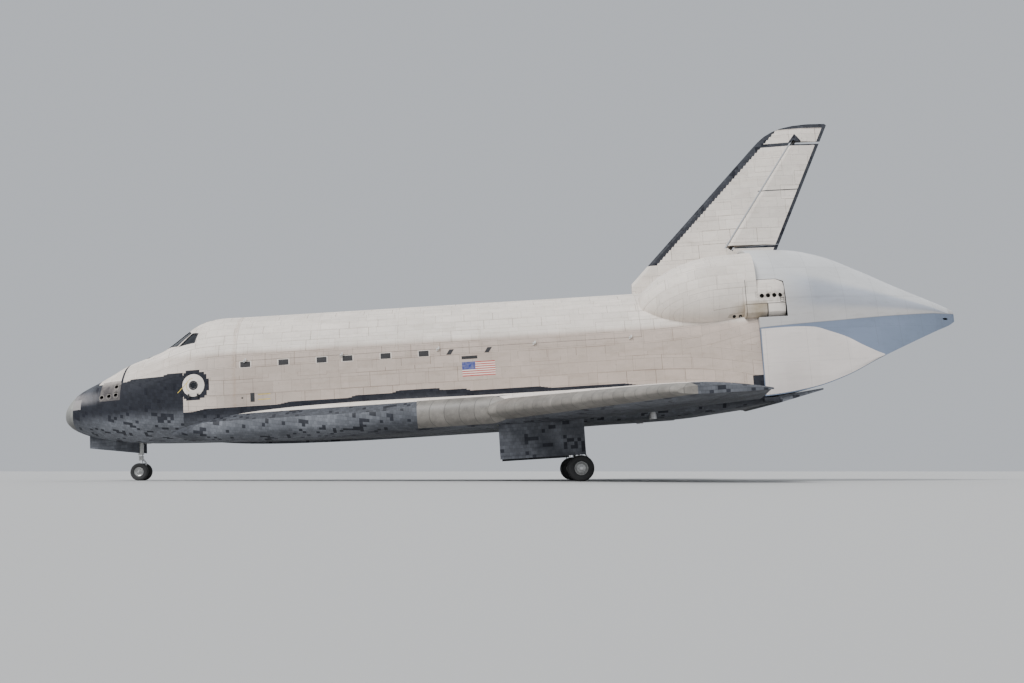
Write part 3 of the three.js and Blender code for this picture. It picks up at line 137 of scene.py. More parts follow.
WING = SimpleNamespace(
    side=105, glove_x=500, body_slope=2, glove_slope=6.31, kink=187.5, front_x=836,
    rear_x=1525.3, rear_slope=-0.1773, low_z=268.5, dihedral=0.0437, upper=0.56, droop=5,
    rear_half=0.6, steps=44,
)
SPAN_TABLE = (  # the wing's thickness at places along its span
    (84, 60), (105, 60), (125, 57.5), (150, 53.5), (187.5, 48.5), (250, 41.5),
    (312, 34.5), (380, 27.5), (440, 20), (460, 16.5), (468.3, 11),
)
ELEVON = SimpleNamespace(x=1387, inner=136, split=312, outer=462, level=450)

GROUND = SimpleNamespace(x=1180, z=165.7)
MAIN_GEAR = SimpleNamespace(
    x=1180, y=136, spacing=18.5, tyre=22.25, rim=11.5, width=16, axle=3, well_top=306,
    well=(1041, 1191, 108, 167),
)
NOSE_GEAR = SimpleNamespace(
    x=375, y=0, spacing=11, tyre=16, rim=8.5, width=8.8, axle=1.6, well_top=332,
    well=(286, 381, -18.5, 18.5),
)

FORWARD_FITTING = SimpleNamespace(x=388.15, y=0, radius=6)
AFT_FITTING = SimpleNamespace(x=1317, y=96.5, radius=7)

PORT, STARBOARD = -1, 1
SIDES = ((STARBOARD, "starboard"), (PORT, "port"))
SPARE_SLOTS = 4  # material slots that a cut keeps apart


def metres(inches):
    return inches * INCH


def lerp(a, b, share):
    return a + (b - a) * share


def span(start, end, count):
    return [lerp(start, end, i / (count - 1)) for i in range(count)]


def quarter(steps):
    return span(0, math.pi / 2, steps + 1)


class Curve:
    """A smooth line through rising places and their values that never overshoots them."""

    def __init__(self, places, values):
        self.places, self.values = places, values
        steps = [(b - a) / (q - p) for p, q, a, b in zip(places, places[1:], values, values[1:])]
        slopes = [0 if a * b <= 0 else 2 * a * b / (a + b) for a, b in zip(steps, steps[1:])]
        self.slopes = [steps[0], *slopes, steps[-1]]

    def __call__(self, place):
        last = len(self.places) - 1
        i = next((k for k in range(1, last) if self.places[k] >= place), last)
        width = self.places[i] - self.places[i - 1]
        t = (place - self.places[i - 1]) / width
        a, b = self.values[i - 1 : i + 1]
        m, n = [slope * width for slope in self.slopes[i - 1 : i + 1]]
        return (
            (1 + 2 * t) * (1 - t) ** 2 * a + t * (1 - t) ** 2 * m
            + t * t * (3 - 2 * t) * b + t * t * (t - 1) * n
        )


class Table:
    """Smooth curves through the named columns of a table, read at one place along it."""

    def __init__(self, columns, rows, stretch=lambda x: x):
        self.stretch = stretch
        places = [stretch(row[0]) for row in rows]
        self.curves = {
            name: Curve(places, [row[i] for row in rows])
            for i, name in enumerate(columns)
            if i
        }

    def __call__(self, x):
        place = self.stretch(x)
        return SimpleNamespace(x=x, **{name: curve(place) for name, curve in self.curves.items()})


hull_at = Table(HULL_COLUMNS, HULL_TABLE, lambda x: math.sqrt(max(0, x - NOSE_TIP)))
cone_at = Table(CONE_COLUMNS, CONE_TABLE)
pod_at = Table(POD_COLUMNS, POD_TABLE, lambda x: math.sqrt(x - POD_TABLE[0][0]))
thickness_at = Curve(*zip(*SPAN_TABLE))


# Solids from mesh operators.


def new_vertices(made):
    return [item for item in made["geom"] if isinstance(item, bmesh.types.BMVert)]


def new_edges(made):
    return [item for item in made["geom"] if isinstance(item, bmesh.types.BMEdge)]


def loft(sections):
    """A closed skin through rings of points: each ring is extruded from the one before it."""
    bm = bmesh.new()
    bmesh.ops.create_circle(bm, segments=len(sections[0]), radius=1)
    ring, edges = list(bm.verts), list(bm.edges)
    for vert, point in zip(ring, sections[0]):
        vert.co = point
    ends = [edges]
    for section in sections[1:]:
        made = bmesh.ops.extrude_edge_only(bm, edges=edges)
        edges = new_edges(made)
        fresh = set(new_vertices(made))
        ring = [next(e.other_vert(v) for e in v.link_edges if e.other_vert(v) in fresh) for v in ring]
        edges = [e for e in edges if e.verts[0] in fresh and e.verts[1] in fresh]
        for vert, point in zip(ring, section):
            vert.co = point
    ends.append(edges)
    for end in ends:
        bmesh.ops.contextual_create(bm, geom=end)
    bmesh.ops.recalc_face_normals(bm, faces=bm.faces)
    return bm


def bevel(bm, width, segments=2, edges=None, sharper=30):
    """Rounds the given edges, or every edge that turns by more than a few degrees."""
    if edges is None:
        limit = math.radians(sharper)
        edges = [e for e in bm.edges if len(e.link_faces) == 2 and e.calc_face_angle(0) > limit]
    bmesh.ops.bevel(
        bm, geom=edges, offset=width, offset_type="OFFSET", affect="EDGES", segments=segments,
        profile=0.5, material=-1, clamp_overlap=True,
    )
    return bm


def block(x0, x1, y0, y1, z0, z1, round_by=0):
    """A box between two stations, two places across and two heights."""
    bm = bmesh.new()
    bmesh.ops.create_cube(bm, size=1)
    bmesh.ops.scale(bm, vec=(x1 - x0, y1 - y0, z1 - z0), verts=bm.verts)
    bmesh.ops.translate(bm, vec=((x0 + x1) / 2, (y0 + y1) / 2, (z0 + z1) / 2), verts=bm.verts)
    return bevel(bm, round_by) if round_by else bm


def side_block(x0, x1, inner, outer, z0, z1, side, round_by=0):
    """A box on one side of the vehicle, between two distances from its middle."""
    return block(x0, x1, *sorted((inner * side, outer * side)), z0, z1, round_by)


def bar(start, end, radius, end_radius=None, sides=24, round_by=0):
    """A round bar or cone between two points."""
    start, end = Vector(start), Vector(end)
    along = end - start
    place = Matrix.Translation((start + end) / 2) @ along.to_track_quat("Z", "Y").to_matrix().to_4x4()
    bm = bmesh.new()
    bmesh.ops.create_cone(
        bm, cap_ends=True, segments=sides, radius1=radius,
        radius2=radius if end_radius is None else end_radius, depth=along.length, matrix=place,
    )
    return bevel(bm, round_by, sharper=60) if round_by else bm


def turn(profile, centre, axis=(0, 1, 0), steps=48):
    """A profile of (radius, place along the axis) pairs, closed on itself, spun about the axis."""
    bm = bmesh.new()
    verts = [bm.verts.new((radius, 0, along)) for radius, along in profile]
    edges = [bm.edges.new(pair) for pair in zip(verts, verts[1:] + verts[:1])]
    bmesh.ops.spin(
        bm, geom=verts + edges, axis=(0, 0, 1), cent=(0, 0, 0), dvec=(0, 0, 0),
        angle=2 * math.pi, steps=steps, use_merge=True, use_normal_flip=False,
    )
    bmesh.ops.remove_doubles(bm, verts=bm.verts, dist=1e-4)
    bmesh.ops.recalc_face_normals(bm, faces=bm.faces)
    place = Matrix.Translation(centre) @ Vector(axis).to_track_quat("Z", "Y").to_matrix().to_4x4()
    bmesh.ops.transform(bm, matrix=place, verts=bm.verts)
    return bm


def prism(outline, offset):
    """A flat outline of points in space, extruded by an offset."""
    bm = bmesh.new()
    face = bm.faces.new([bm.verts.new(point) for point in outline])
    made = bmesh.ops.extrude_face_region(bm, geom=[face])
    bmesh.ops.translate(bm, vec=offset, verts=new_vertices(made))
    bmesh.ops.recalc_face_normals(bm, faces=bm.faces)
    return bm


def side_prism(outline, y0, y1):
    return prism([(x, y0, z) for x, z in outline], (0, y1 - y0, 0))


def plan_prism(outline, z0, z1):
    return prism([(x, y, z0) for x, y in outline], (0, 0, z1 - z0))


def tube(points, radius):
    """A round line through points, with smooth bends."""
    points = [Vector(p) for p in points]
    steps, sides, last = 4, 12, len(points) - 1
    path = []
    for i in range(last):
        before, start, end, after = [points[max(0, min(k, last))] for k in range(i - 1, i + 3)]
        for t in [k / steps for k in range(steps)]:
            path.append(
                0.5 * (
                    2 * start + (end - before) * t
                    + (2 * before - 5 * start + 4 * end - after) * t * t
                    + (3 * start - before - 3 * end + after) * t ** 3
                )
            )
    path.append(points[-1])
    rings = []
    for i, place in enumerate(path):
        along = path[min(i + 1, len(path) - 1)] - path[max(i - 1, 0)]
        across = along.cross(Vector((0.31, 1, 0.13))).normalized()
        up = along.cross(across).normalized()
        rings.append(
            [place + radius * (across * math.cos(a) + up * math.sin(a)) for a in turns(sides)]
        )
    return loft(rings)


def finished_mesh(name, bm):
    mesh = bpy.data.meshes.new(name)
    bm.to_mesh(mesh)
    bm.free()
    return mesh


def placed(name, data):
    """A new object in the scene."""
    obj = bpy.data.objects.new(name, data)
    bpy.context.scene.collection.objects.link(obj)
    return obj


def joined(*parts):
    """Several meshes as one, each still closed in itself."""
    whole = bmesh.new()
    for part in parts:
        mesh = finished_mesh("work", part)
        whole.from_mesh(mesh)
        bpy.data.meshes.remove(mesh)
    return whole


def slotted(bm, index):
    """The same mesh with all its faces in one material slot."""
    for face in bm.faces:
        face.material_index = index
    return bm


def bundle(index, *parts):
    """Several meshes as one, in one material slot."""
    return slotted(joined(*parts), index)


def combine(base, tool, operation="DIFFERENCE"):
    """Cuts, joins or crosses two solids; each face keeps its material slot."""
    objects = []
    for bm in (base, tool):
        mesh = finished_mesh("work", bm)
        for _ in range(SPARE_SLOTS):
            mesh.materials.append(None)
        objects.append(placed("work", mesh))
    change = objects[0].modifiers.new("combine", "BOOLEAN")
    change.operation, change.solver, change.material_mode = operation, "EXACT", "INDEX"
    change.object = objects[1]
    result = bmesh.new()
    result.from_object(objects[0], bpy.context.evaluated_depsgraph_get())
    for obj in objects:
        mesh = obj.data
        bpy.data.objects.remove(obj)
        bpy.data.meshes.remove(mesh)
    if not result.faces:
        raise RuntimeError(f"{operation} left nothing of a solid")
    return result


def meet(base, tool):
    """What two solids have in common."""
    return combine(base, tool, "INTERSECT")


def cut(base, index, *tools):
    """A solid without its tools' space; the faces that they leave go in a material slot."""
    return combine(base, bundle(index, *tools))


def mirrored(bm):
    """A copy of a mesh on the vehicle's other side."""
    other = bm.copy()
    bmesh.ops.scale(other, vec=(1, -1, 1), verts=other.verts)
    bmesh.ops.reverse_faces(other, faces=other.faces)
    return other


def piece(name, bm, finishes, body="airframe", slot="white_blanket", nodes=(), sharp=32):
    """A finished mesh in station inches, seated in the frame as one piece of the vehicle."""
    bmesh.ops.transform(bm, matrix=STATION, verts=bm.verts)
    mesh = finished_mesh(name, bm)
    for finish in finishes:
        mesh.materials.append(material(finish))
    mesh.shade_smooth()
    mesh.set_sharp_from_angle(angle=math.radians(sharp))
    obj = placed(name, mesh)
    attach(obj, body)
    if nodes:
        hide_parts(*nodes)
    return obj


def pair(name, bm, finishes, body=None, slot="white_blanket", nodes=()):
    """A starboard piece and its mirror image on the port side."""
    for side, word in SIDES:
        own = bm.copy() if side == STARBOARD else mirrored(bm)
        piece(
            f"{name}_{word}", own, finishes, f"{body}_{word}" if body else "airframe", slot,
            [f"{node}_{word}" for node in nodes],
        )
    bm.free()


# Sections of the body.

LOW_STEPS, SIDE_STEPS, HIGH_STEPS = 9, 4, 16
SUNK = -0.05  # where the thin plates of covers and marks start, so that no gap shows under them


def low_arc(s, inset=0):
    """A section's rounded lower corner, from its flat keel to its straight side."""
    return [
        (
            s.flat + (s.half - inset - s.flat) * math.sin(a),
            s.low - (s.low - s.bottom - inset) * math.cos(a),
        )
        for a in quarter(LOW_STEPS)
    ]


def high_arc(s, inset, angles):
    """Points of a section's rounded top, at angles up from its straight side."""
    return [
        (
            s.crown + (s.half - inset - s.crown) * math.cos(a),
            s.high + (s.top - inset - s.high) * math.sin(a),
        )
        for a in angles
    ]


def hull_section(x, inset=0):
    """One side of a fuselage section from keel to crown, as (y, z) pairs."""
    s = hull_at(x)
    side = [(s.half - inset, z) for z in span(s.low, s.high, SIDE_STEPS + 1)[1:-1]]
    return low_arc(s, inset) + side + high_arc(s, inset, quarter(HIGH_STEPS))


def ring(x, half_section):
    """A whole section at a station, from one half and its mirror image."""
    return [(x, y, z) for y, z in half_section] + [(x, -y, z) for y, z in reversed(half_section)]


def turns(count):
    """Even angles round a full turn."""
    return [2 * math.pi * k / count for k in range(count)]


def stations(start, end, step):
    """Even places from start to end, about a step apart."""
    return span(start, end, max(2, round((end - start) / step) + 1))


def hull(start, end, inset=0, step=6):
    """The fuselage's solid between two stations, drawn in by an inset."""
    if start < NOSE_JOINT:
        share = span(0.03, 1, 22)
        places = [start + (end - start) * s * s for s in share]
    else:
        places = stations(start, end, step)
    return loft([ring(x, hull_section(x, inset)) for x in places])


def skin_y(x, z):
    """The half width of the fuselage's skin at a height."""
    s = hull_at(x)
    if z < s.low:
        a = math.acos(min(1, (s.low - z) / (s.low - s.bottom)))
        return s.flat + (s.half - s.flat) * math.sin(a)
    if z > s.high:
        a = math.asin(min(1, (z - s.high) / (s.top - s.high)))
        return s.crown + (s.half - s.crown) * math.cos(a)
    return s.half


def skin_point(x, degrees, side):
    """A point on the upper skin, at an angle up from its straight side."""
    s = hull_at(x)
    y, z = high_arc(s, 0, [math.radians(degrees)])[0]
    return Vector((x, side * y, z))


def plate(place, steps_u, steps_v, thickness):
    """A thin plate: place(u, v, lift) gives its points for u and v from 0 to 1."""
    bm = bmesh.new()
    bmesh.ops.create_grid(bm, x_segments=steps_u, y_segments=steps_v, size=0.5)
    shares = {vert: (vert.co.x + 0.5, vert.co.y + 0.5) for vert in bm.verts}
    made = bmesh.ops.extrude_face_region(bm, geom=list(bm.faces))
    top = set(new_vertices(made))
    for vert in top:
        shares[vert] = (vert.co.x + 0.5, vert.co.y + 0.5)
    for vert, (u, v) in shares.items():
        vert.co = place(u, v, thickness if vert in top else 0)
    bmesh.ops.recalc_face_normals(bm, faces=bm.faces)
    return bm


def side_plate(x0, x1, z0, z1, lift, thickness, side=PORT, slant=0, steps=(4, 3)):
    """A plate on the fuselage's side between two stations and two heights."""
    def place(u, v, rise):
        z = lerp(z0, z1, v)
        x = lerp(x0, x1, u) + slant * (v - 0.5)
        return (x, side * (skin_y(x, z) + lift + rise), z)

    return plate(place, *steps, thickness)


def side_line(start, end, width, thickness):
    """A straight painted line on the fuselage's port side."""
    (x0, z0), (x1, z1) = start, end
    length = math.hypot(x1 - x0, z1 - z0)

    def place(u, v, rise):
        off = (v - 0.5) * width / length
        x = lerp(x0, x1, u) - off * (z1 - z0)
        z = lerp(z0, z1, u) + off * (x1 - x0)
        return (x, PORT * (skin_y(x, z) + SUNK + rise), z)

    return plate(place, 8, 1, thickness)


def round_band(x, z, inner, outer, start, end, lift, thickness, side=PORT, steps=(24, 1)):
    """A part of a flat ring round a point on the fuselage's side, between two angles in degrees."""
    def place(u, v, rise):
        a = math.radians(lerp(start, end, u))
        r = lerp(inner, outer, v)
        px, pz = x + r * math.cos(a), z + r * math.sin(a)
        return (px, side * (skin_y(px, pz) + lift + rise), pz)

    return plate(place, *steps, thickness)


# Wing sections.


# A symmetric section: the factors of its half thickness and what they come to at its thickest.
BULGE_ROOT, BULGE_FACTORS, BULGE_PEAK = 0.2969, (-0.126, -0.3516, 0.2843, -0.1036), 0.1


def wing_at(y):
    """The wing's front, rear, thickness and middle height at a place along its span."""
    slope = WING.body_slope if y < WING.side else WING.glove_slope
    front = WING.glove_x + (y - WING.side) * slope if y < WING.kink else WING.front_x + y
    thickness = thickness_at(y)
    low = WING.low_z + max(0, y - WING.side) * WING.dihedral
    return SimpleNamespace(
        front=front, rear=WING.rear_x + WING.rear_slope * y, thickness=thickness,
        middle=low + thickness * (1 - WING.upper),
    )


def wing_height(y, share, side):
    """Height of the wing's surface at a share of its chord; side is 1 above and -1 below."""
    w = wing_at(y)
    bulge = BULGE_ROOT * math.sqrt(share)
    for power, factor in enumerate(BULGE_FACTORS, 1):
        bulge += factor * share ** power
    own = w.thickness * (WING.upper if side > 0 else 1 - WING.upper)
    return w.middle - WING.droop * share ** 2 + side * (own * bulge / BULGE_PEAK + WING.rear_half)


def wing_ring(y):
    """The wing's section: back along its upper surface and forward along its lower one."""
    w = wing_at(y)
    shares = [(1 - math.cos(a * 2)) / 2 for a in quarter(WING.steps)]
    upper = [(lerp(w.front, w.rear, f), y, wing_height(y, f, 1)) for f in shares]
    lower = [(lerp(w.front, w.rear, f), y, wing_height(y, f, -1)) for f in reversed(shares)]
    return upper + lower


def wing_middle(x, y):
    """The wing's middle height and half thickness at a station."""
    w = wing_at(y)
    f = (x - w.front) / (w.rear - w.front)
    up, down = wing_height(y, f, 1), wing_height(y, f, -1)
    return (up + down) / 2, (up - down) / 2


HINGE_IN = wing_middle(ELEVON.x, ELEVON.inner)[0]
HINGE_SLOPE = (wing_middle(ELEVON.x, ELEVON.level)[0] - HINGE_IN) / (ELEVON.level - ELEVON.inner)


HINGE_FRONT = 1300  # well ahead of the elevons' noses


def hinge_z(y):
    """Height of the elevons' hinge line."""
    return HINGE_IN + (y - ELEVON.inner) * HINGE_SLOPE


def hinge_block(y0, y1, x0):
    """A block square to the elevons' hinge line, between two places along it."""
    tilt = math.atan(HINGE_SLOPE)
    low, high = [(y - ELEVON.inner) / math.cos(tilt) for y in (y0, y1)]
    rear, reach = 1700, 90  # past the wing's rear edge, its top and its bottom
    bm = block(x0, rear, low, high, -reach, reach)
    bmesh.ops.rotate(bm, cent=(0, 0, 0), matrix=Matrix.Rotation(tilt, 3, "X"), verts=bm.verts)
    bmesh.ops.translate(bm, vec=(0, ELEVON.inner, HINGE_IN), verts=bm.verts)
    return slotted(bm, 2)


def ground_z(x):
    """Height of the ground, which slopes here because the vehicle's axis is level."""
    return GROUND.z - (x - GROUND.x) * math.tan(PITCH)


def axle_z(gear):
    return ground_z(gear.x) + gear.tyre / math.cos(PITCH)


def fitting_socket(fitting, side, z0, z1):
    """The round space of an attach fitting, between two heights."""
    x, y = fitting.x, fitting.y * side
    return bar((x, y, z0), (x, y, z1), fitting.radius + SEAM, sides=32)


# Finishes.

TILE_RELIEF = 0.12  # depth of the seams between tiles and between blankets


def feed(socket, value):
    """Links an input to a field or another socket, or else sets the input's own value."""
    if isinstance(value, Field):
        value = value.socket
    if isinstance(value, bpy.types.NodeSocket):
        socket.id_data.links.new(value, socket)
    elif socket.type == "RGBA":
        socket.default_value = (*value, 1)
    else:
        socket.default_value = value


def add_node(tree, kind, inputs, **settings):
    """A shader node; its inputs are fed by name or by place."""
    node = tree.nodes.new("ShaderNode" + kind)
    for name, value in settings.items():
        setattr(node, name, value)
    for key, value in inputs.items() if isinstance(inputs, dict) else enumerate(inputs):
        feed(node.inputs[key], value)
    return node


class Field:
    """A number that varies over a surface, written as arithmetic."""

    def __init__(self, tree, socket):
        self.tree, self.socket = tree, socket

    def math(self, operation, *values):
        node = add_node(self.tree, "Math", values, operation=operation)
        return Field(self.tree, node.outputs[0])

    def __add__(self, other):
        return self.math("ADD", self, other)

    def __sub__(self, other):
        return self.math("SUBTRACT", self, other)

    def __rsub__(self, other):
        return self.math("SUBTRACT", other, self)

    def __mul__(self, other):
        return self.math("MULTIPLY", self, other)

    def __truediv__(self, other):
        return self.math("DIVIDE", self, other)

    __radd__, __rmul__ = __add__, __mul__

    def size(self):
        return self.math("ABSOLUTE", self)

    def least(self, other):
        return self.math("MINIMUM", self, other)

    def most(self, other):
        return self.math("MAXIMUM", self, other)

    def over(self, other):
        """1 where this is greater, else 0."""
        return self.math("GREATER_THAN", self, other)

    def under(self, other):
        return self.math("LESS_THAN", self, other)

    def cell(self, width):
        """The middle of the cell of this width that the value lies in."""
        return self.math("FLOOR", self / width) * width + width / 2

    def off_centre(self, width):
        """How far the value lies from the middle of its cell."""
        return (self - self.cell(width)).size()

    def seams(self, width, start, end):
        """Lines between cells: rises from 0 to 1 between two distances from a cell's middle."""
        return self.off_centre(width).ramp(start, end)

    def near(self, place, reach):
        """1 where this lies closer to a place than the reach, else 0."""
        return (self - place).size().under(reach)

    def ramp(self, start, end, low=0, high=1, smooth=False):
        """Rises from low to high while this goes from start to end, and stays there."""
        kind = "SMOOTHSTEP" if smooth else "LINEAR"
        values = (self, start, end, low, high)
        node = add_node(self.tree, "MapRange", values, interpolation_type=kind)
        return Field(self.tree, node.outputs[0])

    def between(self, low, high):
        return self.over(low) * self.under(high)


class Finish:
    """A surface finish whose patterns lie in station coordinates."""

    def __init__(self, name, colour, roughness=0.6, metallic=0, specular=0.5):
        self.material = bpy.data.materials.new(name)
        self.material.use_nodes = True
        self.material.diffuse_color = (*colour, 1)
        self.tree = self.material.node_tree
        self.inputs = self.tree.nodes["Principled BSDF"].inputs
        feed(self.inputs["Base Color"], colour)
        feed(self.inputs["Roughness"], roughness)
        feed(self.inputs["Metallic"], metallic)
        feed(self.inputs["Specular IOR Level"], specular)
        coordinates = add_node(self.tree, "TexCoord", {})
        place = add_node(self.tree, "Mapping", {
            "Vector": coordinates.outputs["Object"], "Scale": (1 / INCH,) * 3,
            "Rotation": (0, PITCH, 0),
            "Location": -(Matrix.Rotation(PITCH, 3, "Y") @ SHIFT) / INCH,
        }, vector_type="POINT")
        split = add_node(self.tree, "SeparateXYZ", place.outputs[:1])
        self.x, self.y, self.z = [Field(self.tree, socket) for socket in split.outputs]

    def vector(self, *fields):
        return add_node(self.tree, "CombineXYZ", fields).outputs[0]

    def distance(self, u, v, u0, v0):
        """How far two coordinates lie from a point."""
        place = self.vector(u - u0, v - v0, 0)
        node = add_node(self.tree, "VectorMath", [place], operation="LENGTH")
        return Field(self.tree, node.outputs["Value"])

    def noise(self, size, detail=3, roughness=0.55, stretch=(1, 1, 1), at=None):
        """Cloudy noise from 0 to 1 whose marks are about this many inches across."""
        place = at or self.vector(*[f / s for f, s in zip((self.x, self.y, self.z), stretch)])
        node = add_node(self.tree, "TexNoise", {
            "Vector": place, "Scale": 1 / size, "Detail": detail, "Roughness": roughness,
        })
        return Field(self.tree, node.outputs["Fac"])

    def chance(self, *fields):
        """A random number from 0 to 1 for each different set of values."""
        place = {"Vector": self.vector(*fields)}
        node = add_node(self.tree, "TexWhiteNoise", place, noise_dimensions="3D")
        return Field(self.tree, node.outputs["Value"])

    def bricks(self, u, v, width, height, gap, offset=0.5):
        """Courses of tiles: a random tint for each tile, and the seams between them."""
        node = add_node(self.tree, "TexBrick", {
            "Vector": self.vector(u, v, 0), "Color1": (0, 0, 0), "Color2": (1, 1, 1),
            "Mortar": (0.5, 0.5, 0.5), "Scale": 1, "Mortar Size": gap, "Mortar Smooth": 0.2,
            "Brick Width": width, "Row Height": height,
        }, offset=offset, squash=1)
        return Field(self.tree, node.outputs["Color"]), Field(self.tree, node.outputs["Fac"])

    def mix(self, share, a, b, blend="MIX"):
        """Colour a where share is 0 and b where it is 1."""
        inputs = {0: share, 6: a, 7: b}  # of colours; the others are for numbers and vectors
        return add_node(self.tree, "Mix", inputs, data_type="RGBA", blend_type=blend).outputs[2]

    def scaled(self, colour, factor):
        """A colour made lighter or darker by a field."""
        return self.mix(1, colour, self.vector(factor, factor, factor), "MULTIPLY")

    def use(self, colour, roughness, bump=None, depth=TILE_RELIEF):
        """Sends the patterns to the shader; depth is the bump's height in inches."""
        feed(self.inputs["Base Color"], colour)
        feed(self.inputs["Roughness"], roughness)
        if bump is not None:
            relief = {"Strength": 1, "Distance": metres(depth), "Height": bump}
            feed(self.inputs["Normal"], add_node(self.tree, "Bump", relief).outputs[0])
        return self.material

    def use_layer(self, layer, depth=TILE_RELIEF):
        """Sends a layer to the shader."""
        return self.use(layer.colour, layer.rough, layer.relief, depth)


class Layer:
    """A finish in the making: its colour, roughness and relief."""

    def __init__(self, finish, colour, rough, relief):
        self.finish, self.colour, self.rough, self.relief = finish, colour, rough, relief

    def paint(self, share, colour, blend="MIX"):
        """Lays a colour over the layer's own."""
        self.colour = self.finish.mix(share, self.colour, colour, blend)


def swatch(name):
    """A colour of the settings."""
    return getattr(bpy.context.scene.orbiter_colours, name)[:3]


def sizes():
    return bpy.context.scene.orbiter_sizes


def black_tile_layer(finish, u, v, worn):
    """The black tiles' colour, roughness and relief; worn runs from 0, fresh, to 1, bleached; both
    colours carry a bluish painted sky reflection.
    """
    edge = sizes().black_tile / INCH
    tint, seam = finish.bricks(u, v, edge, edge, 0.09)
    row = finish.vector(u.cell(edge), v.cell(edge), 0)
    patches = finish.noise(70, 3, 0.6, at=row)
    lone = finish.chance(u.cell(edge), v.cell(edge), 3.5)
    cluster = finish.noise(24, 2, 0.6, at=row)
    replaced = (cluster.over(0.585) * lone.over(0.35)).most(lone.over(0.972))
    streaks = finish.noise(7, 4, 0.6, stretch=(12, 1, 1))
    cloudy = finish.noise(30, 4, 0.6)
    bleached = (worn * (patches * 0.9 + streaks * 0.7 + cloudy * 0.5 - 0.12)).ramp(0, 1.15)
    bleached = bleached * (1 - replaced * 0.82)
    # Bleached grey from wear, lightened and tinted blue as painted sky reflection.
    colour = finish.mix(bleached, swatch("tile_black"), swatch("tile_worn_sky_tint"))
    colour = finish.scaled(colour, tint.ramp(0, 1, 0.82, 1.16))
    colour = finish.mix(seam * 0.75, colour, (0.012, 0.012, 0.013))
    rough = bleached.ramp(0, 1, 0.5, 0.78)
    return Layer(finish, colour, rough, (1 - seam) + finish.noise(2.4, 2) * 0.2)


def patchwork(finish, u, v, length, height, width):
    """A random tint for each panel, and the outlines of some of the panels."""
    row = v.cell(height)
    along = u + finish.chance(row, 1.5, 0.5) * length
    column = along.cell(length)
    tint = finish.chance(column, row, 7.5)
    upright = (along - column).size().over(length / 2 - width)
    level = (v - row).size().over(height / 2 - width)
    return tint, upright.most(level) * tint.over(0.5)


def blanket_layer(finish, u, v, dirty=1.0):
    """The white blankets and tiles: sewn panels, faint tile lines, stains and streaks."""
    length, height = sizes().blanket_length / INCH, sizes().blanket_height / INCH
    tint, seam = finish.bricks(u, v, length, height, 0.16)
    fine = sizes().white_tile / INCH
    fine_tint, fine_seam = finish.bricks(u, v, fine, fine, 0.07)
    clouds = finish.noise(60, 4, 0.6)
    grime = finish.noise(9, 4, 0.65, stretch=(5, 1, 1))
    spots = finish.noise(3.2, 2, 0.5)
    value = tint.ramp(0, 1, 0.94, 1.03) * fine_tint.ramp(0, 1, 0.97, 1.02)
    value = value * clouds.ramp(0.3, 0.7, 0.92, 1.04)
    quilt = (1 - seam) + (1 - fine_seam) * 0.35 + finish.noise(5, 3) * 0.5
    base = finish.scaled(swatch("blanket_white"), value)
    layer = Layer(finish, base, clouds.ramp(0, 1, 0.72, 0.9), quilt)
    layer.paint(grime.ramp(0.5, 0.85, 0, 0.38 * dirty), (0.42, 0.35, 0.28))
    layer.paint(spots.ramp(0.66, 0.74, 0, 0.28 * dirty), (0.2, 0.18, 0.16))
    layer.paint(fine_seam * 0.16, (0.25, 0.22, 0.2))
    layer.paint(seam * 0.5, (0.24, 0.21, 0.18))
    panel, outline = patchwork(finish, u, v, 52, 27, 0.45)
    layer.colour = finish.scaled(layer.colour, panel.ramp(0, 1, 0.94, 1.03))
    layer.paint(outline * 0.7 * dirty, (0.24, 0.19, 0.15))
    return layer


def blended(finish, mask, a, b):
    """Layer a where the mask is 0 and layer b where it is 1."""
    colour = finish.mix(mask, a.colour, b.colour)
    rough = a.rough + (b.rough - a.rough) * mask
    relief = a.relief + (b.relief - a.relief) * mask
    return finish.use(colour, rough, relief)


# The top of the black tiles along the side, aft of the hatch, as (station, height).
BLACK_LINE = ((489, 330), (756, 337), (911, 345), (1000, 338), (1307, 330), (1525, 300))


def black_line(x):
    """The height of the black tiles' upper edge at each station."""
    (x0, z0), (x1, z1) = BLACK_LINE[:2]
    height = x.ramp(x0, x1, z0, z1)
    for (x0, z0), (x1, z1) in zip(BLACK_LINE[1:], BLACK_LINE[2:]):
        height = height + x.ramp(x0, x1, 0, z1 - z0)
    forward = x.ramp(330, HATCH.x - 18, 391, 400)
    ahead = x.under(HATCH.x - 16)
    return height + (forward - height) * ahead


# Parts of the fuselage's pattern: the black tiles round the hatch, in small steps; the white
# panel of the side thrusters; the lighter patch behind the nose cap.
HATCH_TILES = SimpleNamespace(step=4.2, radius=28.5, low=349.5)
THRUSTER_PANEL = SimpleNamespace(step=6, x=344, half=21, low=361, high=394)
NOSE_PATCH = SimpleNamespace(front=264, rear=284, low=349, high=367)
BELLY_TOP = 388  # where rows of tiles stop following the belly and follow the side
CABIN_SEAM = 580  # between the forward and the middle fuselage


def black_area(finish, line):
    """Where the fuselage has black tiles, and where its side thrusters sit in white."""
    x, y, z = finish.x, finish.y, finish.z
    tile = sizes().black_tile / INCH
    height = z + (z.cell(tile * 0.66) - z) * 0.85
    black = height.under(line)
    nose_slant = x - (z - 340) * 0.1
    black = black.most(nose_slant.under(309))
    step = HATCH_TILES.step
    from_hatch = finish.distance(x.cell(step), z.cell(step), HATCH.x, HATCH.z)
    around_hatch = from_hatch.under(HATCH_TILES.radius) * y.under(0) * z.over(HATCH_TILES.low)
    black = black.most(around_hatch)
    flap_sides = x.over(1494) * z.under(331)
    black = black.most(flap_sides)
    step = THRUSTER_PANEL.step
    thrusters = x.cell(step).near(THRUSTER_PANEL.x, THRUSTER_PANEL.half)
    thrusters = thrusters * z.cell(step).between(THRUSTER_PANEL.low, THRUSTER_PANEL.high)
    module_seam = x.near(MODULE.rear, 2.2) * z.over(392)
    return (black * (1 - thrusters)).most(module_seam), thrusters


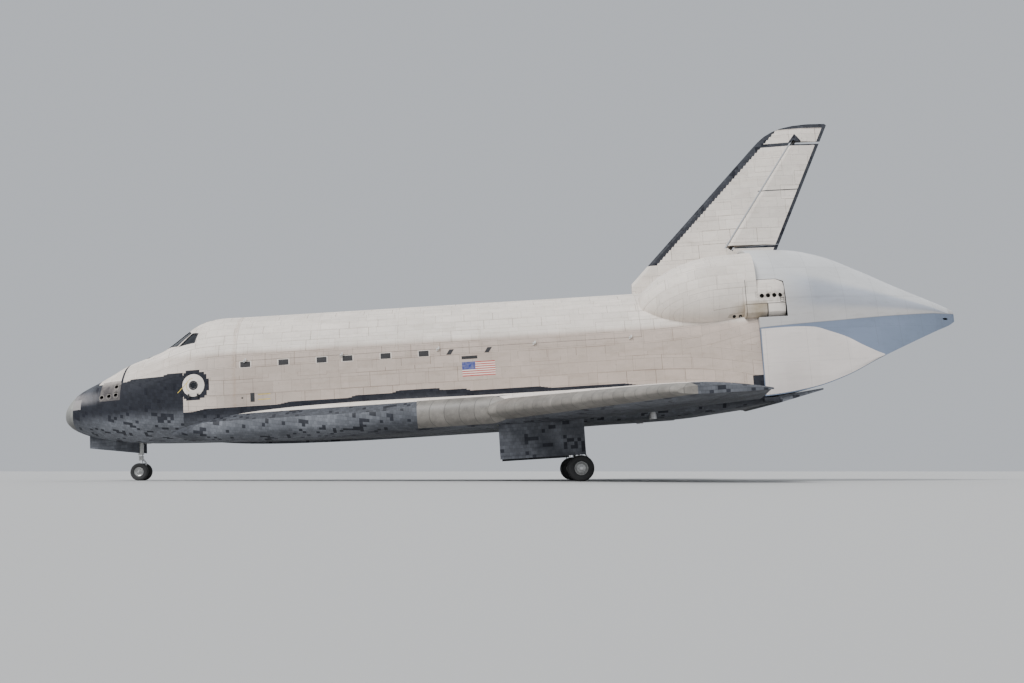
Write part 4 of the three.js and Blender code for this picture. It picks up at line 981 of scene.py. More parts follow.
def hull_finish():
    """Black tiles below and round the nose, white blankets above with painted shade on their sides, and
    their stains.
    """
    finish = Finish("thermal_coat", swatch("blanket_white"), 0.8, specular=0.15)
    x, y, z = finish.x, finish.y, finish.z
    outward, upward = y.size() + z, z - y.size()
    girth = outward + (upward - outward) * z.over(BELLY_TOP)
    line = black_line(x.cell(sizes().black_tile / INCH))
    black, thrusters = black_area(finish, line)

    depth = line.least(346) - z
    worn = depth.ramp(4, 42, 0.06, 1, smooth=True) * x.ramp(240, 360, 0.6, 1)
    worn = worn.most(x.ramp(345, 300, 0, 0.42) * z.ramp(350, 366))
    tiles = black_tile_layer(finish, x, girth, worn)
    patch = x.between(NOSE_PATCH.front, NOSE_PATCH.rear) * z.between(NOSE_PATCH.low, NOSE_PATCH.high)
    tiles.paint(patch * 0.85, (0.36, 0.34, 0.33))
    pale = x.ramp(330, 286) * z.ramp(354, 364) * z.ramp(382, 373)
    pale = pale * finish.noise(20, 3).ramp(0.3, 0.6, 0.5, 1)
    tiles.paint(pale * 0.7, (0.32, 0.3, 0.3))

    blankets = blanket_layer(finish, x, girth)
    # Painted shade: the blankets on the sides below the crown are darkened, weakly towards the nose.
    painted_side_shade = z.ramp(437, 424, smooth=True) * x.ramp(380, 585, 0.15, 1)
    blankets.paint(painted_side_shade, (0.66, 0.605, 0.58), "MULTIPLY")
    seam = (x - CABIN_SEAM + 2).size().ramp(0, 5, 0.45, 0)
    seam = seam + (x - CABIN_SEAM).size().ramp(0, 0.8, 0.4, 0)
    stain = seam * finish.noise(6, 3).ramp(0.3, 0.7)
    blankets.paint(stain * z.over(330), (0.36, 0.25, 0.17))
    soot = thrusters * finish.noise(14, 4).ramp(0.3, 0.7, 0.8, 1)
    soot = soot * z.ramp(THRUSTER_PANEL.high, THRUSTER_PANEL.high - 8, 0.6, 1)
    blankets.paint(soot, (0.066, 0.061, 0.064))
    return blended(finish, black, blankets, tiles)


def blanket_finish():
    finish = Finish("sewn_blanket", swatch("blanket_white"), 0.8)
    layer = blanket_layer(finish, finish.x, finish.z - finish.y.size(), 0.7)
    return finish.use_layer(layer)


# The tan panel low on a pod's side, and the small framed cover behind it.
POD_PANEL = SimpleNamespace(front=1462, rear=1529, top=456)
POD_COVER = SimpleNamespace(x=1556, z=461.5, half=3.4)


def pod_finish():
    """White blankets that turn tan and sooty round the thrusters at the rear."""
    finish = Finish("pod_coat", swatch("blanket_white"), 0.8, specular=0.2)
    x, z = finish.x, finish.z
    layer = blanket_layer(finish, x, z - finish.y.size(), 0.8)
    low = x.ramp(POD_PANEL.front, POD_HOUSING.front) * z.ramp(464, 455)
    stain = low * x.under(POD_PANEL.rear) * finish.noise(18, 4).ramp(0.3, 0.7, 0.55, 1)
    layer.paint(stain, (0.34, 0.28, 0.2))
    soot = (z - POD_THRUSTER_Z).size().ramp(3, 13, 1, 0) * x.over(1508)
    soot = soot * finish.noise(7, 3).ramp(0.35, 0.7)
    layer.paint(soot * 0.7, (0.12, 0.1, 0.09))
    lines = x.near(POD_HOUSING.front + 2, 0.7) * z.under(POD_HOUSING.top)
    lines = lines.most(z.near(POD_PANEL.top, 0.6) * x.over(POD_HOUSING.front))
    lines = lines.most(x.near(POD_PANEL.rear, 1.3) * z.under(POD_PANEL.top))
    along, up = (x - POD_COVER.x).size(), (z - POD_COVER.z).size()
    lines = lines.most(along.most(up).near(POD_COVER.half, 0.7))
    lines = lines.most((along - 1.4).size().most(up).under(0.8))
    outboard = finish.y.size().over(110)
    layer.paint(lines * outboard * 0.8, (0.05, 0.045, 0.04))
    return finish.use_layer(layer)


def wing_top_finish():
    """White blankets, with black tiles along the glove's front edge."""
    finish = Finish("wing_blanket", swatch("blanket_white"), 0.8, specular=0.15)
    x, y = finish.x, finish.y.size()
    blankets = blanket_layer(finish, x, finish.y, 0.7)
    square = x - y * WING.rear_slope  # grows aft, and is even along the rear edge
    dust = square.ramp(ELEVON.x - 7, 1500, 0, 0.35)
    blankets.paint(dust, (0.5, 0.48, 0.44))
    behind = x - ((y.most(WING.side) - WING.side) * WING.glove_slope + WING.glove_x)
    black = behind.under(84) * y.under(WING.kink - 6)
    black = black.most(square.over(1516)).most(y.over(455))
    tiles = black_tile_layer(finish, x, finish.z - y, x.ramp(500, 1000, 0.3, 0.5))
    return blended(finish, black, blankets, tiles)


def upright_tile_finish():
    """Black tiles on upright plates."""
    finish = Finish("upright_tile", swatch("tile_black"), 0.6, specular=0.15)
    worn = finish.noise(60, 3).ramp(0.3, 0.65, 0.1, 0.7)
    layer = black_tile_layer(finish, finish.x, finish.z, worn)
    return finish.use_layer(layer)


def belly_finish():
    finish = Finish("belly_tile", swatch("tile_black"), 0.6, specular=0.15)
    x, y = finish.x, finish.y
    worn = finish.noise(160, 3).ramp(0.3, 0.65, 0.35, 1)
    layer = black_tile_layer(finish, x, y.size() + finish.z, worn)
    return finish.use_layer(layer)


# The fin's front edge rises at 45 degrees from its root, its rear edge more steeply.
FIN = SimpleNamespace(root=503, front=1285, rear=1553.5, rear_slope=0.4932, top=811)
# Dark lines that reach forward from the rear edge, as (height, half width, length).
FIN_LINES = ((781, 3.4, 118), (584.5, 2.2, 92))
FIN_PEAK = SimpleNamespace(x=1643, top=801, bottom=778)


def fin_finish():
    """White blankets with black tiles along the edges, the tip and the rudder's joints."""
    finish = Finish("fin_coat", swatch("blanket_white"), 0.8, specular=0.15)
    x, z = finish.x, finish.z
    rise = z - FIN.root
    behind = x - (rise + FIN.front)
    ahead = (rise * FIN.rear_slope + FIN.rear) - x
    notch = (z.cell(sizes().black_tile / INCH) - z) * 0.5
    black = behind.under(17 + notch) * z.over(560)
    black = black.most(ahead.under(7)).most(z.over(FIN.top))
    black = black.most((z + behind * 0.12).over(820) * behind.under(70))
    for height, half, length in FIN_LINES:
        black = black.most(z.near(height, half) * ahead.under(length))
    joint = z - 692 - (x - 1600) * 0.02
    black = black.most(joint.size().under(0.9) * ahead.under(84))
    peak = (x - FIN_PEAK.x).size().under((FIN_PEAK.top - z) * 0.8) * z.over(FIN_PEAK.bottom)
    black = black.most(peak)
    tiles = black_tile_layer(finish, x, z, z.ramp(500, 800, 0.1, 0.25))
    blankets = blanket_layer(finish, x, z, 1.2)
    return blended(finish, black, blankets, tiles)


def carbon_finish():
    """Grey panels: seams along the wings' edges, and a nose with painted shade that darkens it towards
    its chin and painted light that brightens its top.
    """
    finish = Finish("carbon_panels", swatch("carbon"), 0.45)
    along = (finish.x + finish.y.size()) / math.sqrt(2)
    panel = sizes().edge_panel / INCH
    wing = finish.x.over(600)
    seam = (along.off_centre(panel) - panel / 2).size().ramp(0.15, 0.45, 1, 0) * wing
    tone = finish.chance(along.cell(panel), 0.5, 0.5)
    clouds = finish.noise(12, 4, 0.6)
    fleck = finish.noise(1.5, 3, 0.6)
    value = clouds.ramp(0.25, 0.75, 0.72, 1.25) * tone.ramp(0, 1, 0.85, 1.12)
    colour = finish.scaled(swatch("carbon"), value)
    colour = finish.mix(fleck.ramp(0.55, 0.75, 0, 0.2), colour, (0.4, 0.37, 0.33))
    # Painted shade and painted light: the nose cap darkens towards its chin and brightens towards its
    # top; the leading edges keep their colour.
    nose = finish.z.ramp(318, 358, 0.35, 1.9)
    colour = finish.scaled(colour, nose + (1 - nose) * wing)
    colour = finish.mix(1 - wing, colour, (0.88, 0.95, 1), "MULTIPLY")
    colour = finish.mix(seam * 0.8, colour, (0.02, 0.02, 0.02))
    return finish.use(colour, clouds.ramp(0, 1, 0.35, 0.62), (1 - seam) + fleck * 0.15)


# The sheets of the cone: lengths of its hoops above and its ribs below, height of its strakes.
CONE_HOOP, CONE_RIB, CONE_STRAKE = 62, 49, 58
CONE_RELIEF = 0.08
CONE_TIP = 1895  # where the bands of painted shade along the dome run together


def cone_finish():
    """Painted sheets with seams; painted shade and a bluish painted sky reflection below the crease, and
    painted shade low on the dome and in a band along it.
    """
    finish = Finish("cone_skin", swatch("cone_white"), 0.42)
    x, z = finish.x, finish.z
    crease = x.ramp(AFT_END, 1856, 413.4, 432)
    lower = z.under(crease)
    hoops = x.seams(CONE_HOOP, 30.72, 30.95) * (1 - lower * 0.85)
    ribs = (x - 12).seams(CONE_RIB, 24.1, 24.4) * lower * finish.y.size().under(108)
    strakes = z.seams(CONE_STRAKE, 28.8, 28.95) * z.over(crease + 12) * z.under(556)
    fold = (z - crease).size().ramp(0.4, 1.1, 0.7, 0)
    seam = hoops.most(strakes).most(fold).most(ribs)
    layer = painted_layer(finish, swatch("cone_white"))
    share = (z - crease) / (CONE_TIP - x)
    # Painted shade: a bluish dark band along the dome, and a dome that darkens towards the crease.
    dome_shade_band = (share - 0.2).size().ramp(0.05, 0.14, 1, 0, smooth=True) * x.ramp(1560, 1620)
    low_dome_shade = share.ramp(0.34, 0.1, smooth=True) * (1 - lower)
    # Painted shade and painted sky reflection: the side below the crease is darkened and turned blue.
    layer.paint(lower * 0.95, (0.25, 0.325, 0.47), "MULTIPLY")
    # Painted shade low on the dome and in the band along it.
    layer.paint(low_dome_shade * 0.8, (0.74, 0.71, 0.69), "MULTIPLY")
    layer.paint(dome_shade_band * 0.8, (0.64, 0.7, 0.82), "MULTIPLY")
    layer.paint(seam * 0.6, (0.12, 0.12, 0.13))
    layer.relief = (1 - seam) + layer.relief * 0.3
    return finish.use_layer(layer, CONE_RELIEF)


def painted_layer(finish, colour):
    """Painted sheet: soft clouds, streaks along the flow and rows of small fasteners."""
    x, z = finish.x, finish.z
    clouds = finish.noise(80, 4, 0.55)
    streaks = finish.noise(6, 4, 0.6, stretch=(14, 1, 1))
    tone = finish.chance(x.cell(CONE_HOOP), z.cell(CONE_STRAKE), 0.5)
    value = clouds.ramp(0.3, 0.7, 0.92, 1.05) * tone.ramp(0, 1, 0.96, 1.02)
    rivets = x.off_centre(3).under(0.5) * (z - 2).off_centre(CONE_STRAKE).over(28.2)
    rough = clouds.ramp(0, 1, 0.34, 0.52)
    layer = Layer(finish, finish.scaled(colour, value), rough, clouds - rivets * 0.5)
    layer.paint(streaks.ramp(0.52, 0.85, 0, 0.34), (0.36, 0.34, 0.31))
    layer.paint(rivets * 0.3, (0.2, 0.2, 0.2))
    return layer


def cone_panel_finish():
    finish = Finish("cone_panel", swatch("cone_white"), 0.42)
    seam = (finish.x - 40).seams(74, 36.7, 36.95)
    layer = painted_layer(finish, swatch("cone_panel"))
    layer.paint(seam * 0.5, (0.15, 0.14, 0.13))
    layer.relief = (1 - seam) + layer.relief * 0.3
    return finish.use_layer(layer, CONE_RELIEF)


def worn_finish(name, colour, roughness, metallic=0.0, grain=2.0, contrast=0.25, depth=0.01):
    """A plain finish with cloudy wear, fine grain and uneven gloss."""
    if isinstance(colour, str):
        colour = swatch(colour)
    finish = Finish(name, colour, roughness, metallic)
    clouds = finish.noise(grain * 8, 4, 0.6)
    fine = finish.noise(grain, 3, 0.6)
    value = clouds.ramp(0.3, 0.7, 1 - contrast, 1 + contrast * 0.6)
    value = value * fine.ramp(0.3, 0.7, 1 - contrast / 3, 1 + contrast / 4)
    rough = (clouds + fine).ramp(0.6, 1.4, roughness * 0.8, min(1, roughness * 1.2))
    return finish.use(finish.scaled(colour, value), rough, fine, depth)


def glass_finish():
    tint = swatch("glass")
    finish = Finish("cabin_glass", tint, 0.06)
    feed(finish.inputs["Alpha"], 0.86)
    feed(finish.inputs["IOR"], 1.5)
    smear = finish.noise(9, 3)
    colour = finish.scaled(tint, smear.ramp(0.3, 0.7, 0.8, 1.25))
    return finish.use(colour, smear.ramp(0.3, 0.7, 0.04, 0.12))


def liner_finish():
    """Quilted sheets with two sizes of stitching."""
    white = (0.72, 0.72, 0.69)
    finish = Finish("bay_liner", white, 0.6)
    around = finish.z + finish.y.size()
    tint, seam = finish.bricks(finish.x, around, 30, 24, 0.4)
    stitch, fine = finish.bricks(finish.x, around, 5, 5, 0.12, 0)
    colour = finish.scaled(white, tint.ramp(0, 1, 0.9, 1.03) * stitch.ramp(0, 1, 0.97, 1.02))
    colour = finish.mix(seam * 0.6, colour, (0.25, 0.24, 0.22))
    quilt = (1 - seam) + (1 - fine) * 0.5 + finish.noise(3) * 0.3
    return finish.use(colour, tint.ramp(0, 1, 0.5, 0.7), quilt, 0.25)


def radiator_finish():
    """Silvery strips over the flow tubes, in panels."""
    silver = (0.82, 0.83, 0.85)
    finish = Finish("radiator_sheet", silver, 0.16, 0.95)
    strip = finish.x.seams(4, 1.85, 1.97)
    panel = (finish.x - 715).seams(142, 70, 70.6)
    dull = finish.noise(30, 3)
    colour = finish.scaled(silver, dull.ramp(0.3, 0.7, 0.85, 1.05))
    colour = finish.mix((strip * 0.4).most(panel * 0.8), colour, (0.3, 0.31, 0.33))
    return finish.use(colour, dull.ramp(0.3, 0.7, 0.1, 0.3), (1 - strip) + (1 - panel), 0.06)


def flag_finish():
    """Thirteen stripes and a plain blue field."""
    finish = Finish("flag_paint", (0.6, 0.1, 0.1), 0.6)
    x, z = finish.x, finish.z
    share = (z - FLAG.low) / (FLAG.high - FLAG.low)
    pairs = share * 6.5
    stripes = (pairs - pairs.cell(1) + 0.5).under(0.5)
    colour = finish.mix(stripes, swatch("blanket_white"), swatch("flag_red"))
    field = x.under(lerp(FLAG.front, FLAG.rear, 0.4)) * share.over(0.46)
    colour = finish.mix(field, colour, swatch("flag_blue"))
    wear = finish.noise(5, 4).ramp(0.35, 0.75, 0, 0.3)
    colour = finish.mix(wear, colour, (0.6, 0.56, 0.5))
    return finish.use(colour, finish.noise(4).ramp(0, 1, 0.5, 0.75), finish.noise(5), 0.05)


FINISHES = {
    "thermal_coat": hull_finish,
    "sewn_blanket": blanket_finish,
    "pod_coat": pod_finish,
    "wing_blanket": wing_top_finish,
    "belly_tile": belly_finish,
    "upright_tile": upright_tile_finish,
    "fin_coat": fin_finish,
    "carbon_panels": carbon_finish,
    "cone_skin": cone_finish,
    "cone_panel": cone_panel_finish,
    "cabin_glass": glass_finish,
    "bay_liner": liner_finish,
    "radiator_sheet": radiator_finish,
    "flag_paint": flag_finish,
}
# Plain finishes: a colour or the name of a colour setting, then roughness, metallic, size of the
# grain, contrast and depth of the relief.
PLAIN_FINISHES = {
    "frame_tile": ("tile_black", 0.7, 0, 2, 0.3),
    "dark_seal": ((0.02, 0.02, 0.022), 0.55),
    "nozzle_soot": ((0.03, 0.028, 0.027), 0.5, 0.4, 1),
    "nozzle_rim": ((0.25, 0.23, 0.21), 0.45, 0.7, 1),
    "vent_slat": ((0.07, 0.068, 0.066), 0.5, 0.3, 1),
    "mark_black": ((0.025, 0.025, 0.028), 0.6, 0, 3, 0.4),
    "mark_yellow": ("mark_yellow", 0.6, 0, 2, 0.3),
    "cabin_grey": ((0.16, 0.17, 0.18), 0.6, 0, 3, 0.2),
    "seat_fabric": ((0.05, 0.07, 0.1), 0.9, 0, 1, 0.3, 0.05),
    "strap_orange": ((0.5, 0.2, 0.05), 0.8, 0, 1, 0.2),
    "gear_white": ((0.68, 0.68, 0.66), 0.38, 0, 3, 0.22),
    "steel": ((0.55, 0.55, 0.55), 0.32, 0.9, 2, 0.2),
    "chrome": ((0.8, 0.8, 0.82), 0.08, 1, 3, 0.06, 0.002),
    "wheel_metal": ((0.5, 0.5, 0.49), 0.35, 0.8, 2, 0.25),
    "rubber": ("rubber", 0.78, 0, 1.2, 0.35, 0.02),
    "hose": ((0.02, 0.02, 0.02), 0.6, 0, 1, 0.2),
    "well_primer": ((0.42, 0.45, 0.36), 0.6, 0, 4, 0.25),
    "engine_foil": ((0.5, 0.48, 0.44), 0.4, 0.8, 4, 0.3, 0.2),
}


def material(name):
    """The finish of this name, made when it is first asked for."""
    found = bpy.data.materials.get(name)
    if found:
        return found
    return FINISHES[name]() if name in FINISHES else worn_finish(name, *PLAIN_FINISHES[name])


def coat(node, *finishes, slot=None):
    """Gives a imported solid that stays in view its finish."""
    obj = frame["nodes"][node]
    obj.data.materials.clear()
    for name in finishes:
        obj.data.materials.append(material(name))


# Forward fuselage.

MODULE = SimpleNamespace(front=292, rear=367, low=358)
SIDE_THRUSTERS = ((328, 367), (343, 368), (357, 369), (357, 384))
TOP_THRUSTERS = ((344, 0), (344, -14), (344, 14))
NOSE_THRUSTERS = ((304, 0), (304, -13), (304, 13))
# Window panes as corners of (station, degrees up from the side).
PANES = (
    ((434, 87), (442, 69), (479, 71), (476, 87)),
    ((444, 65.5), (468, 47.5), (490, 55), (482, 67.5)),
    ((473, 43.5), (503, 36), (506, 47.5), (494, 52.5)),
)
OVERHEAD = SimpleNamespace(front=505, rear=523, inner=4, outer=27)


def edges_along(bm, direction):
    """The edges that run in a direction, either way."""
    return [
        e for e in bm.edges
        if abs((e.verts[0].co - e.verts[1].co).normalized().dot(direction)) > 0.99
    ]


def pane_cutter(corners, side, grow=0.0):
    """A slanted block over one pane, with rounded corners, drawn through the skin."""
    points = [skin_point(x, degrees, side) for x, degrees in corners]
    centre = sum(points, Vector()) / 4
    out = (points[2] - points[0]).cross(points[3] - points[1]).normalized()
    if out.z < 0:
        out.negate()
    points = [p + (p - centre).normalized() * grow for p in points]
    flat = [p - out * (p - centre).dot(out) for p in points]
    bm = prism([p - out * 9 for p in flat], out * 18)
    return bevel(bm, 2.2, 3, edges_along(bm, out))


def overhead_cutter(side, grow=0.0):
    """An upright block over one overhead window, with rounded corners."""
    bm = side_block(
        OVERHEAD.front - grow, OVERHEAD.rear + grow, OVERHEAD.inner - grow, OVERHEAD.outer + grow,
        470, 540, side,
    )
    return bevel(bm, 1.8, 3, edges_along(bm, Vector((0, 0, 1))))


def every_pane(grow=0.0):
    panes = [pane_cutter(corners, side, grow) for side, _ in SIDES for corners in PANES]
    return panes + [overhead_cutter(side, grow) for side, _ in SIDES]


class ORBITER_OT_nose(bpy.types.Operator):
    """Nose cap and the thruster module behind it"""

    bl_idname = "orbiter.nose"
    bl_label = "Nose and thruster module"

    def execute(self, context):
        cap = hull(NOSE_TIP, NOSE_JOINT - SEAM)
        piece("carbon_nose_cap", cap, ["carbon_panels"], slot="carbon_edge", nodes=["nose_cap"])
        box = block(MODULE.front + SEAM, MODULE.rear - SEAM, -FAR, FAR, MODULE.low + SEAM, FAR)
        module = meet(hull(280, 380, step=4), slotted(box, 1))
        # Each opening from its throat to its mouth, with the radius of both.
        openings = [
            ((x, 48 * side, z), (x, 110 * side, z + 6), 3.4, 5.4)
            for x, z in SIDE_THRUSTERS for side, _ in SIDES
        ]
        openings += [((x, y, 400), (x, y, 440), 3, 6) for x, y in TOP_THRUSTERS]
        openings += [((x + 4, y, 388), (x - 12, y, 412), 2.6, 4.4) for x, y in NOSE_THRUSTERS]
        cones = [bar(*opening, 28) for opening in openings]
        module = cut(module, 2, *cones)
        rims = [
            round_band(x, z, 3.9, 5.3, 0, 360, -0.5, 0.62, side, (28, 1))
            for x, z in SIDE_THRUSTERS for side, _ in SIDES
        ]
        piece(
            "thruster_module", module, ["thermal_coat", "dark_seal", "nozzle_soot"],
            nodes=["forward_thruster_module"],
        )
        piece("thruster_rims", joined(*rims), ["nozzle_rim"])
        return {"FINISHED"}


class ORBITER_OT_cabin(bpy.types.Operator):
    """Forward fuselage with its hollow cabin, windows and side hatch"""

    bl_idname = "orbiter.cabin"
    bl_label = "Cabin, windows and hatch"

    def execute(self, context):
        shell = hull(NOSE_JOINT, FORWARD_END)
        inner = hull(CABIN.front, CABIN.rear + 15, CABIN.skin)
        inner = meet(inner, block(0, FAR, -FAR, FAR, CABIN.floor, FAR))
        cuts = (
            (inner, 2),
            (block(MODULE.front, MODULE.rear, -FAR, FAR, MODULE.low, FAR), 1),
            (block(*NOSE_GEAR.well, 250, NOSE_GEAR.well_top), 3),
            (bar(*HATCH_AXIS, HATCH.radius + CLEAR, sides=72), 1),
            (fitting_socket(FORWARD_FITTING, 0, 270, 300), 1),
            (joined(*every_pane()), 1),
        )
        for tool, index in cuts:
            shell = cut(shell, index, tool)
        piece(
            "forward_body", shell, ["thermal_coat", "dark_seal", "cabin_grey", "well_primer"],
            nodes=["forward_fuselage", "windshield", "overhead_windows"],
        )
        self.windows()
        self.hatch()
        return {"FINISHED"}

    def windows(self):
        # Depths of a sheet's two faces under the skin, growth of its outlines and of their holes.
        for name, outer, inner, grow, hole, finish, slot in (
            ("window_panes", 1.1, 2.1, -SEAM, None, "cabin_glass", "window_glass"),
            ("window_rims", 0.25, 1.05, -SEAM, -1.5, "dark_seal", "black_tile"),
            ("window_frames", -0.16, -0.01, 2.4, 0, "frame_tile", "black_tile"),
        ):
            sheet = combine(hull(415, 540, outer), hull(412, 543, inner))
            sheet = meet(sheet, joined(*every_pane(grow)))
            if hole is not None:
                sheet = combine(sheet, joined(*every_pane(hole)))
            piece(name, sheet, [finish], slot=slot)

    def hatch(self):
        outward = HATCH_AXIS[::-1]
        disc = combine(hull(478, 532, -0.02), hull(474, 536, HATCH.thickness))
        disc = meet(disc, slotted(bar(*outward, HATCH.radius, sides=72), 1))
        disc = cut(disc, 1, bar(*outward, HATCH.window, sides=40))
        lugs = []
        for x in (497, 513):
            lugs.append(block(x - 1.5, x + 1.5, -105.3, -103.5, 355, 361, 0.3))
            lugs.append(bar((x - 1.5, -104.4, 355), (x + 1.5, -104.4, 355), 0.9, sides=16))
        disc = joined(disc, bundle(1, *lugs))
        piece("hatch_disc", disc, ["sewn_blanket", "dark_seal"], "hatch", nodes=["side_hatch"])
        x, z = HATCH.x, HATCH.z
        pane = combine(hull(490, 520, 0.8), hull(488, 522, 2.6))
        pane = meet(pane, bar(*outward, HATCH.window - SEAM, sides=40))
        piece("hatch_pane", pane, ["cabin_glass"], "hatch", "window_glass", ["hatch_window"])
        ring_band = round_band(x, z, 5.6, 8.4, 0, 360, -0.02, 0.16, steps=(40, 1))
        piece("hatch_window_ring", ring_band, ["mark_black"], "hatch", "black_tile")
        arc = round_band(x, z, 12.2, 13.1, 95, 232, -0.02, 0.14, steps=(32, 1))
        piece("hatch_arc", arc, ["mark_yellow"], "hatch")


class ORBITER_OT_payload_bay(bpy.types.Operator):
    """Middle fuselage, payload doors and the radiators inside them"""

    bl_idname = "orbiter.payload_bay"
    bl_label = "Payload bay and doors"

    def execute(self, context):
        self.body()
        self.doors()
        return {"FINISHED"}

    def bay_arc(self):
        """The bay's rounded lower corner, from its wall to its floor."""
        return [
            (
                BAY.flat + (BAY.half - BAY.flat) * math.cos(a),
                BAY.low - (BAY.low - BAY.bottom) * math.sin(a),
            )
            for a in quarter(8)
        ]

    def section(self, x):
        """One side of the open shell: its skin up to the sill, and back down inside the bay."""
        s = hull_at(x)
        side = [(s.half, z) for z in span(s.low, s.high, 6)[1:]]
        shoulder = [(skin_y(x, z), z) for z in (407, SILL)]
        wall = [(BAY.half, SILL), (BAY.half, (SILL + BAY.low) / 2)]
        return low_arc(s) + side + shoulder + wall + self.bay_arc()

    def hinge_lugs(self, x0, x1):
        """The pins of one door's hinges, between two offsets from each hinge's place."""
        y, z = DOOR_AXIS.y, DOOR_AXIS.z
        return [bar((x + x0, y, z), (x + x1, y, z), 1.1, sides=20) for x in DOOR_HINGES]

    def body(self):
        places = stations(FORWARD_END + SEAM, MID_END - SEAM, 24)
        shell = loft([ring(x, self.section(x)) for x in places])
        for face in shell.faces:
            y, z = abs(face.calc_center_median().y), face.calc_center_median().z
            inside = y < BAY.half + 0.5 and BAY.bottom - 1 < z < SILL - 0.1
            lined = y < BAY.half - 0.1 or abs(face.normal.y) > 0.9
            face.material_index = int(inside and lined and len(face.verts) == 4)
        lugs = self.hinge_lugs(-4, -1.5)
        for x in DOOR_HINGES:
            lugs.append(block(x - 4, x - 1.5, 101, DOOR_AXIS.y, 411, DOOR_AXIS.z - 0.7, 0.2))
        lugs += [mirrored(lug) for lug in lugs]
        piece(
            "middle_body", joined(shell, bundle(2, *lugs)),
            ["thermal_coat", "bay_liner", "gear_white"], nodes=["mid_fuselage"],
        )
        self.frames()

    def frames(self):
        ribs = []
        outer = [(BAY.half - 0.05, SILL - 3), (BAY.half - 0.05, BAY.low)] + self.bay_arc()[1:]
        deep = 2.2
        inner = [(y - deep * (z > BAY.bottom + 8), z + deep * (z < BAY.low)) for y, z in outer]
        half = outer + inner[::-1]
        for x in stations(612, 1277, 57):
            for side, _ in SIDES:
                ribs.append(loft([[(px, side * y, z) for y, z in half] for px in (x - 1.2, x + 1.2)]))
        piece("bay_frames", joined(*ribs), ["gear_white"], slot="inner_metal")

    def doors(self):
        x0, x1 = FORWARD_END + CLEAR, MID_END - CLEAR
        places = set(stations(x0, x1, 30))
        grooves = {}
        for i in range(1, 5):
            for offset, depth in ((-0.6, 0), (-0.35, 0.45), (0.35, 0.45), (0.6, 0)):
                x = lerp(x0, x1, i / 5) + offset
                places.add(x)
                grooves[x] = depth
        rows = []
        for x in sorted(places):
            s = hull_at(x)
            line = []
            outer, inner = (grooves.get(x, 0), 0, 1), (DOOR_THICKNESS, DOOR_THICKNESS, -1)
            for inset, under, flip in (outer, inner):
                start = math.asin((SILL + CLEAR - s.high) / (s.top - under - s.high))
                arc = high_arc(s, inset, span(start, math.pi / 2, 24))
                arc.append((CLEAR / 2, arc[-1][1]))
                line += arc[::flip]
            rows.append([(x, y, z) for y, z in line])
        shell = loft(rows)
        for face in shell.faces:
            centre = face.calc_center_median()
            down = Vector((0, centre.y, centre.z - 400)).dot(face.normal) < 0
            face.material_index = 1 if down else 0
        lugs = self.hinge_lugs(-1, 1.5)
        y, z = DOOR_AXIS.y, DOOR_AXIS.z
        for x in DOOR_HINGES:
            lugs.append(block(x - 1, x + 1.5, y - 1, y + 1.1, z, z + 3.8, 0.2))
        pair(
            "bay_door", joined(shell, bundle(2, *lugs)),
            ["thermal_coat", "bay_liner", "gear_white"], "bay_door", nodes=["payload_door"],
        )
        self.radiators()

    def radiators(self):
        sheets = []
        for x0, x1 in RADIATOR.panels:
            rows = []
            for x in stations(x0, x1, 36):
                s = hull_at(x)
                line = []
                for inset, flip in ((DOOR_THICKNESS + SEAM, 1), (DOOR_THICKNESS + 1.6, -1)):
                    lowest = math.asin((RADIATOR.low - s.high) / (s.top - inset - s.high))
                    highest = math.acos((RADIATOR.inner - s.crown) / (s.half - inset - s.crown))
                    line += high_arc(s, inset, span(lowest, highest, 18))[::flip]
                rows.append([(x, y, z) for y, z in line])
            sheets.append(loft(rows))
        pair(
            "radiator_sheets", joined(*sheets), ["radiator_sheet"], "bay_door", "radiator_panel",
            ["radiator"],
        )


